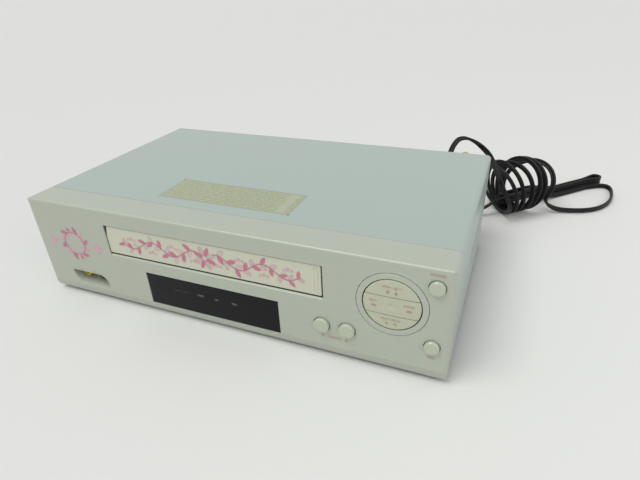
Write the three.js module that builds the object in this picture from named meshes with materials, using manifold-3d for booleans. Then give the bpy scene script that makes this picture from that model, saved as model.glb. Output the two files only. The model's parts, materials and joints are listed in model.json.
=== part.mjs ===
// A home video cassette recorder with a front-loading cassette door.
// Millimetres. X runs from the left side to the right, Y from the front panel to the back, Z up from the
// shelf.
import * as THREE from 'three';
import { mergeVertices } from 'three/addons/utils/BufferGeometryUtils.js';
import Module from 'manifold-3d';

const wasm = await Module();
wasm.setup();

// Overall sizes
const width = 360;
const bodyHeight = 90;
const depth = 212;
const footHeight = 4;

// Sizes that many pieces share
const gap = 0.3; // left between pieces that touch
const sheet = 0.9; // steel sheet of the cover, chassis and rear panel
const boardThickness = 1.6;
const overrun = 2; // how far a cut passes the face that it opens
const mergeTolerance = 0.0001;
const sliver = 0.002; // faces thinner than this are merged into their neighbours

// Counts of facets
const ringSides = 28;
const roundSides = 16;
const smallSides = 10;
const pinSides = 6;
const nutSides = 6;
const arcSteps = 4;

// Front bezel
const bezel = {
  wall: 2.5,
  returnDepth: 25.4,
  sideRound: 4,
  topRound: 1.6,
  bevelHeight: 8.3,
  bevelDepth: 3.2,
  lipLength: 6,
  bossRadius: 3,
};

// Cassette opening and its door
const slot = { centre: -3.2, width: 190.6, bottom: 50.2, height: 26.2, sillDrop: 1.8, sillDepth: 1.6 };
const door = {
  thickness: 2.2,
  recess: 0.7,
  topGap: 0.6,
  bottomGap: 1.1,
  leftGap: 0.7,
  rightGap: 1.3,
  axisBack: 4.4,
  axisRise: 3.3,
  pinRadius: 1,
  pinPlay: 0.2,
  knuckle: 1.5,
  armWidth: 3,
  pinLength: 9.5,
  earWidth: 2.6,
  earDepth: 8.5,
  earReach: 3.4,
  ribHeight: 1.2,
};
const doorSpring = { wire: 0.5, radius: 1.55, pitch: 1.1, turns: 3, legLength: 7, steps: 8 };

// Display
const display = { left: -65.2, right: 55.8, bottom: 8.2, top: 38.4 };
const pane = { thickness: 1.5, frontStep: 0.4, flange: 2.2, flangeThickness: 1 };
const tube = { width: 96, height: 20, depth: 7, back: 7.5, baseHeight: 26, baseWidth: 108 };

// Round buttons: place across and above the underside of the body
const button = {
  radius: 5.2, play: 0.45, stand: 2.6, crown: 0.7, flangeOut: 1.1, flangeThickness: 1.2, stemRadius: 2,
  travel: 0.8,
};
const channelRadius = 6;
const buttonPlaces = {
  power: { x: 168.6, z: 76.4, radius: button.radius },
  record: { x: 168.6, z: 29.1, radius: button.radius },
  channel_down: { x: 90.2, z: 26.7, radius: channelRadius },
  channel_up: { x: 109.4, z: 26.7, radius: channelRadius },
};

// Transport pad: a ring pressed into the bezel and a round pad split by two level lines
const pad = {
  x: 140.5,
  z: 56.3,
  ringRadius: 24.8,
  radius: 19.7,
  splitUp: 6.6,
  splitDown: 7.9,
  split: 0.5,
  play: 0.45,
  dish: 1.6,
  groove: 0.6,
  stand: 0.9,
  thickness: 2.4,
  rimOut: 1.2,
  rockerRim: 8,
  dimpleRadius: 3.4,
  dimpleDepth: 0.7,
};

// Front jack scoop
const scoop = {
  left: -150.4,
  right: -111.2,
  top: 24.2,
  bottom: 10.9,
  cornerRadius: 3,
  sweepRadius: 12.6,
  shoulderRadius: 8.5,
  depth: 13,
  floorRise: 4,
  wall: 1.8,
};
const frontJack = {
  videoFromLeft: 9.5, audioFromRight: 11.5, aboveFloor: 8.6, radius: 4.1, bore: 1.7, length: 7.5, body: 11,
  bodyHeight: 13,
};

// Circuit boards
const mainBoard = { height: 8, front: 34, rearGap: 6, sideGap: 5, splitAt: 101 };
const frontBoard = { back: 17.5, left: -80, bottom: 10, lowTop: 42, highLeft: 99, top: 84, sideGap: 4.2 };

// Deck plate and what stands on it
const deck = {
  height: 22, thickness: 1.2, halfWidth: 104, leftReach: 142, front: 33, rearGap: 3.5, postRadius: 4,
  postPlay: 1, bossHeight: 2,
};
const cassette = { width: 187, height: 25, hubSpread: 92.4, hubFromLid: 68, lidLine: 136 };
const reel = {
  tableRadius: 26, tableThickness: 3, rise: 6, hubRadius: 9, spindleRadius: 5.2, spindleRise: 11,
  finDepth: 1.6, shaftRadius: 1.5, play: 0.25,
};
const idler = { radius: 15.8, thickness: 4, pivotBack: 35, armWidth: 7, armThickness: 1.2, shaft: 1.2 };
const head = {
  fromRear: 34.5,
  radius: 31,
  lowerHeight: 14,
  upperHeight: 16,
  seat: 7,
  lean: 6,
  slit: 0.4,
  shaftRadius: 3,
  shaftPlay: 0.3,
  rotorRadius: 21,
  rotorHeight: 6,
  baseRadius: 34,
  baseThickness: 4,
  rampHeight: 2,
};
const capstan = {
  x: 56,
  fromLid: 11,
  radius: 2,
  overTape: 1.2,
  bearingRadius: 6,
  bearingRise: 10,
  flywheelRadius: 22,
  flywheelThickness: 7,
  below: 3.6,
  statorRadius: 14,
  statorThickness: 1.2,
};
const clutch = { radius: 12, shaft: 2, collarHeight: 2 };
const belt = { thickness: 0.8, height: 2.4, grooveDepth: 1.2 };
const tape = { width: 12.7, aboveSeat: 6.2 };
const pinch = {
  pivotX: 21, pivotY: 9, arm: 18.5, radius: 6.5, swing: 22, armThickness: 1.4, armWidth: 8, pivotRadius: 4,
  pinRadius: 1.5,
};
const guide = {
  mouthX: 29,
  mouthBack: 5,
  endX: 45,
  endFromDrum: 12,
  slotWidth: 4,
  baseLength: 12,
  baseWidth: 11,
  baseThickness: 2.4,
  stemRadius: 2,
  radius: 3.2,
  flangeOut: 1,
  flangeThickness: 1.1,
  headRadius: 3.4,
  headThickness: 1.2,
  leanRadius: 1.4,
  leanAngle: 14,
};
const eraseHead = { x: -65, fromLid: 10, width: 9, depth: 8, over: 1.4, footRadius: 3 };
const soundHead = { x: 61, fromLid: 26, width: 12, depth: 7, over: 1.4, footRadius: 3 };
const tension = {
  pivotX: -84, pivotFromLid: -28, postX: -64, postFromLid: -12, armWidth: 6, armThickness: 1.2,
  postRadius: 2, postHeight: 18, rise: 1.4,
};

// Loading drive at the left of the deck
const drive = {
  module: 1.25, camTeeth: 30, pinionTeeth: 9, camX: -121, camY: 128, thickness: 4, rise: 2, camShaft: 2,
  backlash: 0.35,
};
const camTrack = { radius: 12, width: 2.4, depth: 1.6, offset: 3, hubRadius: 5 };
const motor = {
  radius: 11, length: 22, capRadius: 4, capHeight: 2, plateThickness: 1.2, clearance: 1, legWidth: 10,
  shaft: 1,
};

// Cassette holder, the toothed slides that carry it and the housing round them
const holder = {
  sideClear: 0.7,
  seatRise: 0.5,
  topClear: 1,
  tableClear: 1,
  plate: 0.8,
  ledge: 13,
  length: 56,
  doorGap: 1.4,
  pinRadius: 1.6,
  pinPlay: 0.2,
  pinInset: 8,
  pinHeight: 13,
  tabRise: 11,
  windowMargin: 12,
};
const rack = {
  thickness: 1.8, margin: 6, runner: 9, runnerHeight: 2, gearTeeth: 13, overDeck: 13.8, discRadius: 5,
  discThickness: 2, shaft: 2,
};
const housing = {
  thickness: 1.2, top: 80, windowMargin: 1.2, footReach: 5, footLength: 14, end: 2, bridgeFront: 4,
  bridgeDepth: 14, barDepth: 6,
};

// Power supply, tuner and the rear sockets
const power = {
  front: 62, transformer: [30, 28, 24], transformerY: 96, sinkLength: 46, sinkHeight: 34, sinkY: 140,
  sinkThickness: 2, sinkFins: 5, capRadius: 11, capHeight: 30, capY: 186,
};
const tuner = { x: 155, width: 18, depth: 44, wall: 1.2 };
const aerial = { lower: 56, radius: 4.7, bore: 1.6, reach: 13, nut: 6.6, nutThickness: 2.2 };
const rearJack = { x: -160, z: 34, spread: 14, radius: 4.2, bore: 1.7, reach: 7.5, body: 12, margin: 6 };

// Mains cord: flat twin, its exit at the top of the rear panel
const cord = {
  wide: 5.6, thick: 2.8, exitX: 138, exitZ: 78, inside: 2,
  step: 8, leadStepShare: 2.4, leadEndShare: 2.6, apartShare: 5, // steps of its points, and its measuring
};
const bushing = {
  neck: 9, collar: 14, collarHigh: 13, collarThickness: 3, collarRound: 2, tail: 26, tip: 7.4,
  tipThick: 4.6, round: 1.2, holeWide: 9.6,
};
const plug = {
  width: 25, height: 14, length: 28, neck: 12, neckWide: 9, neckHigh: 5.6, round: 2, shoulder: 8,
  shoulderShare: 0.72,
  bladeGap: 12.7, bladeWidth: 6.3, bladeThickness: 1.5, bladeLength: 17,
};
const foot = { radius: 9, topRadius: 10, plug: 2.4, plugRise: 2.6, inset: 26, frontInset: 34 };
const vent = { width: 2.4, length: 26, pitch: 6, count: 12 };
const slits = { height: 18, width: 2.2, pitch: 7, count: 14, fromRear: 20, fromBase: 34 };
const tray = { wallHeight: 12, postInset: 7, boardPost: 3, rearClear: 2.2 };
const rear = { flange: 7, ventFrom: -40, ventHeight: 20, ventZ: 52 };
const chip = { small: 9, large: 24, thickness: 2.4, canRadius: 4, canHeight: 9 };

const left = -width / 2;
const right = width / 2;
const base = footHeight;
const top = footHeight + bodyHeight;
const radians = Math.PI / 180;

// A tooth's height above and below the pitch line, in modules, and its half widths, in tooth steps
const toothShares = { tip: 0.85, root: 1.15, footHalf: 0.36, headHalf: 0.13 };

// Solids from three.js geometry

function solidOf(geometry) {
  const plain = geometry.index ? geometry.toNonIndexed() : geometry.clone();
  plain.deleteAttribute('normal');
  plain.deleteAttribute('uv');
  const merged = mergeVertices(plain, mergeTolerance);
  return new wasm.Manifold(new wasm.Mesh({
    numProp: 3,
    vertProperties: new Float32Array(merged.attributes.position.array),
    triVerts: new Uint32Array(merged.index.array),
  }));
}

function geometryOf(solid) {
  const mesh = solid.simplify(sliver).getMesh();
  const geometry = new THREE.BufferGeometry();
  geometry.setAttribute('position', new THREE.BufferAttribute(mesh.vertProperties, 3));
  geometry.setIndex(new THREE.BufferAttribute(mesh.triVerts, 1));
  geometry.computeVertexNormals();
  return geometry;
}

function join(...solids) {
  return solids.reduce((sum, solid) => sum.add(solid));
}

function cut(solid, ...tools) {
  return tools.reduce((rest, tool) => rest.subtract(tool), solid);
}

// A box between its lowest and its highest corner
function block([x0, y0, z0], [x1, y1, z1]) {
  const geometry = new THREE.BoxGeometry(x1 - x0, y1 - y0, z1 - z0);
  geometry.translate((x0 + x1) / 2, (y0 + y1) / 2, (z0 + z1) / 2);
  return solidOf(geometry);
}

// A round bar along one axis; the centre is given in the other two, in X, Y, Z order
function rod(axis, radius, from, to, [a, b], sides = roundSides, endRadius = radius) {
  const geometry = new THREE.CylinderGeometry(endRadius, radius, to - from, sides);
  const middle = (from + to) / 2;
  if (axis === 'z') geometry.rotateX(Math.PI / 2).translate(a, b, middle);
  if (axis === 'y') geometry.translate(a, middle, b);
  if (axis === 'x') geometry.rotateZ(-Math.PI / 2).translate(middle, a, b);
  return solidOf(geometry);
}

// A shape pushed along one axis; it is drawn in the other two, in X, Y, Z order
function pushed(axis, shape, from, to, curveSegments = arcSteps) {
  const geometry = new THREE.ExtrudeGeometry(
    shape, { depth: to - from, bevelEnabled: false, steps: 1, curveSegments },
  );
  const across = { x: [0, 1, 0], y: [1, 0, 0], z: [1, 0, 0] }[axis];
  const up = { x: [0, 0, 1], y: [0, 0, 1], z: [0, 1, 0] }[axis];
  const u = new THREE.Vector3(...across);
  const v = new THREE.Vector3(...up);
  const out = new THREE.Vector3().crossVectors(u, v);
  geometry.applyMatrix4(new THREE.Matrix4().makeBasis(u, v, out));
  const start = { x: from, y: to, z: from }[axis];
  const shift = { x: [start, 0, 0], y: [0, start, 0], z: [0, 0, start] }[axis];
  geometry.translate(...shift);
  return solidOf(geometry);
}

// A turned piece about an upright axis, from pairs of radius and height that run up its outline
function turned(profile, [x, y] = [0, 0], sides = roundSides) {
  const points = profile.map(([radius, height]) => new THREE.Vector2(radius, height));
  const geometry = new THREE.LatheGeometry(points, sides);
  geometry.rotateX(Math.PI / 2).translate(x, y, 0);
  return solidOf(geometry);
}

function outline(points) {
  return new THREE.Shape(points.map(([a, b]) => new THREE.Vector2(a, b)));
}

function roundedBox(a0, b0, a1, b1, radius) {
  const shape = new THREE.Shape();
  shape.absarc(a1 - radius, b0 + radius, radius, -Math.PI / 2, 0);
  shape.absarc(a1 - radius, b1 - radius, radius, 0, Math.PI / 2);
  shape.absarc(a0 + radius, b1 - radius, radius, Math.PI / 2, Math.PI);
  shape.absarc(a0 + radius, b0 + radius, radius, Math.PI, Math.PI * 1.5);
  return shape;
}

// A closed skin over rings of points, all with the same count, with flat ends; the rings turn clockwise
// seen along their row
function skinned(rings) {
  const count = rings[0].length;
  const middle = (ring) => ring.reduce(
    (sum, p) => sum.clone().add(p), new THREE.Vector3(),
  ).divideScalar(count);
  const points = [...rings.flat(), middle(rings[0]), middle(rings[rings.length - 1])];
  const first = rings.length * count;
  const faces = [];
  for (let i = 0; i < rings.length - 1; i += 1) {
    for (let k = 0; k < count; k += 1) {
      const a = i * count + k;
      const b = i * count + ((k + 1) % count);
      faces.push(a, b + count, b, a, a + count, b + count);
    }
  }
  for (let k = 0; k < count; k += 1) {
    const next = (k + 1) % count;
    faces.push(first, k, next);
    faces.push(first + 1, first - count + next, first - count + k);
  }
  const geometry = new THREE.BufferGeometry().setFromPoints(points);
  geometry.setIndex(faces);
  return geometry;
}

// Straight-flanked teeth round a wheel, thinned by the backlash
function gearShape(teeth, x, y, phase = 0) {
  const { module, backlash } = drive;
  const pitch = (teeth * module) / 2;
  const tip = pitch + module * toothShares.tip;
  const root = pitch - module * toothShares.root;
  const slack = backlash / (2 * pitch);
  const step = (2 * Math.PI) / teeth;
  const points = [];
  for (let i = 0; i < teeth; i += 1) {
    const at = phase + i * step;
    const foot = step * toothShares.footHalf - slack;
    const head = step * toothShares.headHalf - slack / 2;
    for (const [radius, angle] of [[root, -foot], [tip, -head], [tip, head], [root, foot]]) {
      points.push([x + radius * Math.cos(at + angle), y + radius * Math.sin(at + angle)]);
    }
  }
  return outline(points);
}

// Finishes: each node gets a material of its own
const finishes = {
  panel: { color: 0xc3c8bb, roughness: 0.42, metalness: 0.25 },
  cover: { color: 0xbcc6c6, roughness: 0.45, metalness: 0.3 },
  cream: { color: 0xdfdfc8, roughness: 0.35, metalness: 0 },
  smoke: { color: 0x1b1a20, roughness: 0.12, metalness: 0 },
  steel: { color: 0xb4b8ba, roughness: 0.4, metalness: 0.85 },
  bright: { color: 0xd6d8da, roughness: 0.22, metalness: 1 },
  cast: { color: 0xa9abad, roughness: 0.5, metalness: 0.8 },
  brass: { color: 0xc8a95a, roughness: 0.3, metalness: 0.9 },
  black: { color: 0x17181a, roughness: 0.5, metalness: 0 },
  rubber: { color: 0x202022, roughness: 0.85, metalness: 0 },
  white: { color: 0xd9dad4, roughness: 0.55, metalness: 0 },
  board: { color: 0x8f7a45, roughness: 0.7, metalness: 0 },
};

// The origin lies on the floor under the middle of the whole recorder
const whole = new THREE.Group();
const recorder = new THREE.Group();
const tailEnd = depth - tray.rearClear + gap + bushing.collarThickness + bushing.tail;
recorder.position.y = (button.stand - Math.max(depth + aerial.reach, tailEnd)) / 2;
whole.add(recorder);

function add(name, solid, finish, parent = recorder) {
  const geometry = solid.isBufferGeometry ? solid : geometryOf(solid);
  const mesh = new THREE.Mesh(geometry, new THREE.MeshStandardMaterial(finishes[finish]));
  mesh.name = name;
  parent.add(mesh);
  return mesh;
}

// Front bezel

const slotLeft = slot.centre - slot.width / 2;
const slotRight = slot.centre + slot.width / 2;
const slotBottom = base + slot.bottom;
const slotTop = slotBottom + slot.height;
const doorAxisZ = slotTop + door.axisRise;
const doorLeft = slotLeft + door.leftGap;
const doorRight = slotRight - door.rightGap;
const lipInset = sheet + gap;

// The body's outline seen from the front, inset from its faces, with its upper corners rounded
function crossSection(inset, low) {
  const edge = right - inset;
  const high = top - inset;
  const radius = bezel.sideRound - inset;
  const shape = new THREE.Shape();
  shape.moveTo(edge, low);
  shape.lineTo(edge, high - radius);
  shape.absarc(edge - radius, high - radius, radius, 0, Math.PI / 2);
  shape.absarc(-edge + radius, high - radius, radius, Math.PI / 2, Math.PI);
  shape.lineTo(-edge, low);
  return shape;
}

// The moulded shell inset by a distance from the outer faces, from the front to the given depth
function bezelForm(inset, back) {
  const low = base + inset;
  const high = top - inset;
  const side = new THREE.Shape();
  side.moveTo(back, low);
  side.lineTo(back, high);
  side.absarc(inset + bezel.topRound, high - bezel.topRound, bezel.topRound, Math.PI / 2, Math.PI);
  side.lineTo(inset, low + bezel.bevelHeight);
  side.lineTo(inset + bezel.bevelDepth, low);
  const plan = new THREE.Shape();
  const edge = right - inset;
  plan.moveTo(-edge, back);
  plan.lineTo(-edge, inset + bezel.sideRound);
  plan.absarc(-edge + bezel.sideRound, inset + bezel.sideRound, bezel.sideRound, Math.PI, Math.PI * 1.5);
  plan.absarc(edge - bezel.sideRound, inset + bezel.sideRound, bezel.sideRound, Math.PI * 1.5, Math.PI * 2);
  plan.lineTo(edge, back);
  const section = pushed('y', crossSection(inset, low), 0, back + overrun);
  return pushed('x', side, -edge, edge).intersect(pushed('z', plan, low, high)).intersect(section);
}

// The scoop's mouth, or the same drawn in by a margin at its back
function scoopShape(margin, rise) {
  const low = base + scoop.bottom - margin + rise;
  const high = base + scoop.top + margin;
  const start = scoop.left - margin;
  const end = scoop.right + margin;
  const corner = scoop.cornerRadius - rise / 2 + margin;
  const sweep = scoop.sweepRadius - rise + margin;
  const shoulder = scoop.shoulderRadius - rise + margin;
  const shape = new THREE.Shape();
  shape.moveTo(start, high);
  shape.lineTo(start, low + sweep);
  shape.absarc(start + sweep, low + sweep, sweep, Math.PI, Math.PI * 1.5);
  shape.absarc(end - corner, low + corner, corner, Math.PI * 1.5, Math.PI * 2);
  shape.absarc(end - shoulder, high - shoulder, shoulder, 0, Math.PI / 2);
  return shape;
}

// The scoop's hollow: its floor rises from the mouth to the back wall
function scoopForm(margin, from, to) {
  const ring = (rise, y) => scoopShape(margin, rise).getPoints(arcSteps).map(
    (p) => new THREE.Vector3(p.x, y, p.y)
  );
  const mouth = from < 0 ? [ring(0, from), ring(0, 0)] : [ring(0, from)];
  return solidOf(skinned([...mouth, ring(scoop.floorRise, to)]));
}

const boardFront = frontBoard.back - boardThickness;
const boardHoles = [
  [frontBoard.left + 2 * bezel.bossRadius, base + frontBoard.lowTop - 2 * bezel.bossRadius],
  [frontBoard.highLeft + 2 * bezel.bossRadius, base + frontBoard.top - 2 * bezel.bossRadius],
  [
    right - frontBoard.sideGap - 2 * bezel.bossRadius - bezel.wall,
    base + frontBoard.bottom + 2 * bezel.bossRadius,
  ],
];

function makeBezel() {
  const shell = join(
    bezelForm(0, bezel.returnDepth), bezelForm(lipInset, bezel.returnDepth + bezel.lipLength),
  );
  const back = bezel.returnDepth + bezel.lipLength + overrun;
  const hollow = bezelForm(bezel.wall, back);
  const opening = block([slotLeft, -overrun, slotBottom], [slotRight, bezel.wall + overrun, slotTop]);
  const sill = pushed('x', outline([
    [-overrun, slotBottom - slot.sillDrop - overrun * slot.sillDrop / slot.sillDepth],
    [slot.sillDepth, slotBottom],
    [slot.sillDepth, slotBottom + overrun],
    [-overrun, slotBottom + overrun],
  ]), slotLeft, slotRight);
  const paneHole = block(
    [display.left, -overrun, base + display.bottom],
    [display.right, bezel.wall + overrun, base + display.top],
  );
  let form = cut(shell, hollow, opening, sill, paneHole);
  for (const { x, z, radius } of Object.values(buttonPlaces)) {
    form = cut(form, rod('y', radius + button.play, -overrun, bezel.wall + overrun, [x, base + z]));
  }
  const centre = [pad.x, base + pad.z];
  const dish = turned([
    [0, -pad.dish], [pad.radius + pad.play, -pad.dish], [pad.ringRadius, -pad.groove],
    [pad.ringRadius, overrun], [0, overrun],
  ], [0, 0], ringSides);
  const toFront = new THREE.Matrix4().makeRotationX(Math.PI / 2).setPosition(centre[0], 0, centre[1]);
  const dishCut = solidOf(geometryOf(dish).applyMatrix4(toFront));
  const padHole = rod('y', pad.radius + pad.play, -overrun, bezel.wall + overrun, centre, ringSides);
  form = cut(form, dishCut, padHole);
  const cup = scoopForm(scoop.wall, bezel.wall / 2, scoop.depth + scoop.wall);
  form = cut(join(form, cup), scoopForm(0, -overrun, scoop.depth));
  const jackZ = base + scoop.bottom + frontJack.aboveFloor;
  for (const x of [scoop.left + frontJack.videoFromLeft, scoop.right - frontJack.audioFromRight]) {
    form = cut(
      form,
      rod(
        'y', frontJack.radius + gap, scoop.depth - overrun, scoop.depth + scoop.wall + overrun, [x, jackZ],
        smallSides,
      ),
    );
  }
  for (const [near, far] of [[doorLeft - door.pinLength, 1], [doorRight + door.pinLength, -1]]) {
    const ear = block(
      [Math.min(near, near + far * door.earWidth), bezel.wall - gap, doorAxisZ - door.earReach],
      [Math.max(near, near + far * door.earWidth), door.earDepth, doorAxisZ + door.earReach],
    );
    form = join(form, ear);
    const hole = [near - overrun, near + overrun + door.earWidth].map((x) => (far > 0 ? x : 2 * near - x));
    form = cut(
      form,
      rod(
        'x', door.pinRadius + door.pinPlay, Math.min(...hole), Math.max(...hole),
        [door.axisBack, doorAxisZ], smallSides,
      ),
    );
  }
  for (const [x, z] of boardHoles) {
    form = join(form, rod('y', bezel.bossRadius, bezel.wall - gap, boardFront - gap, [x, z], smallSides));
  }
  return form;
}
add('front_bezel', makeBezel(), 'panel');

// Cassette door: a flap with two knuckles that turn on pins in the bezel's ears

const doorBack = door.recess + door.thickness;
const pinZone = [door.axisBack, doorAxisZ];

function makeDoor() {
  const low = slotBottom + door.bottomGap;
  const high = slotTop - door.topGap;
  const panel = pushed('y', roundedBox(doorLeft, low, doorRight, high, door.topGap), door.recess, doorBack);
  const rib = block(
    [doorLeft + door.armWidth, doorBack - gap, low + door.ribHeight],
    [doorRight - door.armWidth, doorBack + door.ribHeight, low + 2 * door.ribHeight],
  );
  let form = join(panel, rib);
  for (const [edge, inward] of [[doorLeft, 1], [doorRight, -1]]) {
    const from = Math.min(edge, edge + inward * door.armWidth);
    const arm = block(
      [from, doorBack - gap, high - 2 * door.armWidth],
      [from + door.armWidth, door.axisBack + door.knuckle, doorAxisZ],
    );
    const knuckle = rod('x', door.knuckle, from, from + door.armWidth, pinZone, smallSides);
    const outer = edge - inward * (door.pinLength + door.earWidth / 2 - gap);
    const pin = rod(
      'x', door.pinRadius, Math.min(outer, edge + inward), Math.max(outer, edge + inward), pinZone,
      smallSides,
    );
    form = join(form, arm, knuckle, pin);
  }
  return form;
}
add('cassette_door', makeDoor(), 'cream');

// Return spring: wound round the right pin, with a leg that lies behind the bezel's wall
function makeDoorSpring() {
  const { wire, radius, pitch, turns, legLength, steps } = doorSpring;
  const start = doorRight + gap + wire;
  const points = [];
  for (let i = 0; i <= turns * steps; i += 1) {
    const angle = Math.PI + (i / steps) * 2 * Math.PI;
    points.push(
      new THREE.Vector3(
        start + (i / steps) * pitch, door.axisBack + radius * Math.cos(angle),
        doorAxisZ + radius * Math.sin(angle),
      )
    );
  }
  const last = points[points.length - 1];
  points.push(new THREE.Vector3(last.x, last.y, last.z - legLength));
  const wireRound = new THREE.Shape();
  wireRound.absarc(0, 0, wire / 2, 0, 2 * Math.PI);
  const path = new THREE.CatmullRomCurve3(points, false, 'centripetal');
  return solidOf(
    new THREE.ExtrudeGeometry(
      wireRound, { extrudePath: path, steps: points.length, curveSegments: 2, bevelEnabled: false },
    )
  );
}
add('door_spring', makeDoorSpring(), 'bright');

// Display window and the display behind it

const displayLow = base + display.bottom;
const displayHigh = base + display.top;

function makeWindow() {
  const plate = block(
    [display.left + gap, pane.frontStep, displayLow + gap],
    [display.right - gap, bezel.wall + gap, displayHigh - gap],
  );
  const flange = block(
    [display.left - pane.flange, bezel.wall + gap, displayLow + pane.flange],
    [display.right + pane.flange, bezel.wall + gap + pane.flangeThickness, displayHigh + pane.flange],
  );
  const inside = bezel.wall + gap + pane.flangeThickness;
  const relief = block(
    [display.left + pane.thickness, pane.frontStep + pane.thickness, displayLow + pane.thickness],
    [display.right - pane.thickness, inside + overrun, displayHigh - pane.thickness],
  );
  return cut(join(plate, flange), relief);
}
add('display_window', makeWindow(), 'smoke');

function makeDisplay() {
  const x = (display.left + display.right) / 2;
  const z = (displayLow + displayHigh) / 2;
  const glass = block(
    [x - tube.width / 2, tube.back - tube.depth / 2, z - tube.height / 2],
    [x + tube.width / 2, tube.back + tube.depth / 2, z + tube.height / 2],
  );
  const cradle = block(
    [x - tube.baseWidth / 2, tube.back + tube.depth / 2 - gap, z - tube.baseHeight / 2],
    [x + tube.baseWidth / 2, boardFront - gap, z + tube.baseHeight / 2],
  );
  return join(glass, cradle);
}
add('display_module', makeDisplay(), 'black');

// Round push buttons: a crowned cap, a flange behind the bezel's wall and a stem to its switch

function makeButton({ x, z, radius }) {
  const height = base + z;
  const crown = turned([
    [0, 0], [radius, 0], [radius, button.stand - button.crown],
    [radius - button.crown / 2, button.stand - button.crown / 3],
    [radius - 2 * button.crown, button.stand], [0, button.stand],
  ]);
  const toFront = new THREE.Matrix4().makeRotationX(Math.PI / 2).setPosition(x, 0, height);
  const cap = solidOf(geometryOf(crown).applyMatrix4(toFront));
  const behind = bezel.wall + gap;
  const shank = rod('y', radius, -gap, behind + gap, [x, height]);
  const flange = rod(
    'y', radius + button.flangeOut, behind, behind + button.flangeThickness, [x, height], smallSides,
  );
  const stem = rod(
    'y', button.stemRadius, behind, boardFront - 2 * button.stemRadius, [x, height], pinSides,
  );
  return join(cap, shank, flange, stem);
}
for (const [name, place] of Object.entries(buttonPlaces)) {
  add(`${name}_button`, makeButton(place), 'panel');
}

// Transport pad: one round crown split by two level cuts
const padZ = base + pad.z;
const padLines = [padZ - pad.radius, padZ - pad.splitDown, padZ + pad.splitUp, padZ + pad.radius];

function makePadPiece(low, high, stems, rimReach = pad.radius + pad.rimOut) {
  const form = turned([
    [0, -pad.thickness], [pad.radius, -pad.thickness], [pad.radius, 0],
    [pad.radius - pad.stand, pad.stand / 2],
    [pad.radius / 2, pad.stand], [0, pad.stand],
  ], [0, 0], ringSides);
  const toFront = new THREE.Matrix4().makeRotationX(Math.PI / 2).setPosition(pad.x, 0, padZ);
  const crown = solidOf(geometryOf(form).applyMatrix4(toFront));
  const reach = pad.radius + pad.rimOut;
  const behind = bezel.wall + gap;
  const rim = rod('y', reach, behind, behind + button.flangeThickness, [pad.x, padZ], roundSides).intersect(
    block(
      [pad.x - rimReach, behind - overrun, padZ - reach],
      [pad.x + rimReach, behind + overrun, padZ + reach],
    ),
  );
  const neck = rod('y', pad.radius, 0, behind + button.flangeThickness, [pad.x, padZ], ringSides);
  const bottom = low === padLines[0] ? low - pad.rimOut - overrun : low + pad.split / 2;
  const ceiling = high === padLines[3] ? high + pad.rimOut + overrun : high - pad.split / 2;
  const band = block(
    [pad.x - reach - overrun, -overrun, bottom], [pad.x + reach + overrun, 3 * overrun, ceiling],
  );
  let piece = join(crown, neck, rim).intersect(band);
  for (const [x, z] of stems) {
    piece = join(
      piece, rod('y', button.stemRadius, behind, boardFront - 2 * button.stemRadius, [x, z], pinSides),
    );
  }
  return piece;
}
const topStemZ = (padLines[2] + padLines[3]) / 2;
const bottomStemZ = (padLines[0] + padLines[1]) / 2;
const middleZ = (padLines[1] + padLines[2]) / 2;
const rockerStems = [[pad.x - pad.radius / 2, middleZ], [pad.x + pad.radius / 2, middleZ]];
add('stop_eject_button', makePadPiece(padLines[2], padLines[3], [[pad.x, topStemZ]]), 'panel');
add('play_button', makePadPiece(padLines[0], padLines[1], [[pad.x, bottomStemZ]]), 'panel');

function makeRocker() {
  const ballRadius = (pad.dimpleRadius ** 2 + pad.dimpleDepth ** 2) / (2 * pad.dimpleDepth);
  const ball = new THREE.SphereGeometry(ballRadius, ringSides / 2, ringSides / 4);
  ball.translate(pad.x, -pad.stand - ballRadius + pad.dimpleDepth, middleZ);
  return cut(makePadPiece(padLines[1], padLines[2], rockerStems, pad.rockerRim), solidOf(ball));
}
add('wind_rocker', makeRocker(), 'panel');

// Front jacks: two phono sockets in one moulded block behind the scoop

const frontJackZ = base + scoop.bottom + frontJack.aboveFloor;
const frontJackX = [scoop.left + frontJack.videoFromLeft, scoop.right - frontJack.audioFromRight];

function makeFrontJacks() {
  const back = scoop.depth + scoop.wall + gap;
  let form = block(
    [frontJackX[0] - frontJack.body / 2, back, frontJackZ - frontJack.bodyHeight / 2],
    [frontJackX[1] + frontJack.body / 2, back + frontJack.body, frontJackZ + frontJack.bodyHeight / 2],
  );
  for (const x of frontJackX) {
    const barrel = rod(
      'y', frontJack.radius, scoop.depth - frontJack.length, back + gap, [x, frontJackZ], smallSides,
    );
    const bore = rod(
      'y', frontJack.bore, scoop.depth - frontJack.length - overrun, scoop.depth, [x, frontJackZ], pinSides,
    );
    form = cut(join(form, barrel), bore);
  }
  return form;
}
add('front_jack_block', makeFrontJacks(), 'black');

// Top cover: one sheet folded over the top and both sides, with vents pressed in the sides

const coverFront = bezel.returnDepth + gap;

function makeCover() {
  const low = base + sheet + gap;
  const sheetOver = pushed('y', crossSection(0, low), coverFront, depth);
  const under = pushed('y', crossSection(sheet, low - overrun), coverFront - overrun, depth + overrun);
  let form = cut(sheetOver, under);
  for (let i = 0; i < slits.count; i += 1) {
    const y = depth - slits.fromRear - i * slits.pitch;
    const z = base + slits.fromBase;
    form = cut(form, block([left - overrun, y - slits.width, z], [right + overrun, y, z + slits.height]));
  }
  return form;
}
add('top_cover', makeCover(), 'cover');

// Bottom chassis: a steel tray with upturned sides, posts for the boards and taller posts for the deck
// plate

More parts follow.
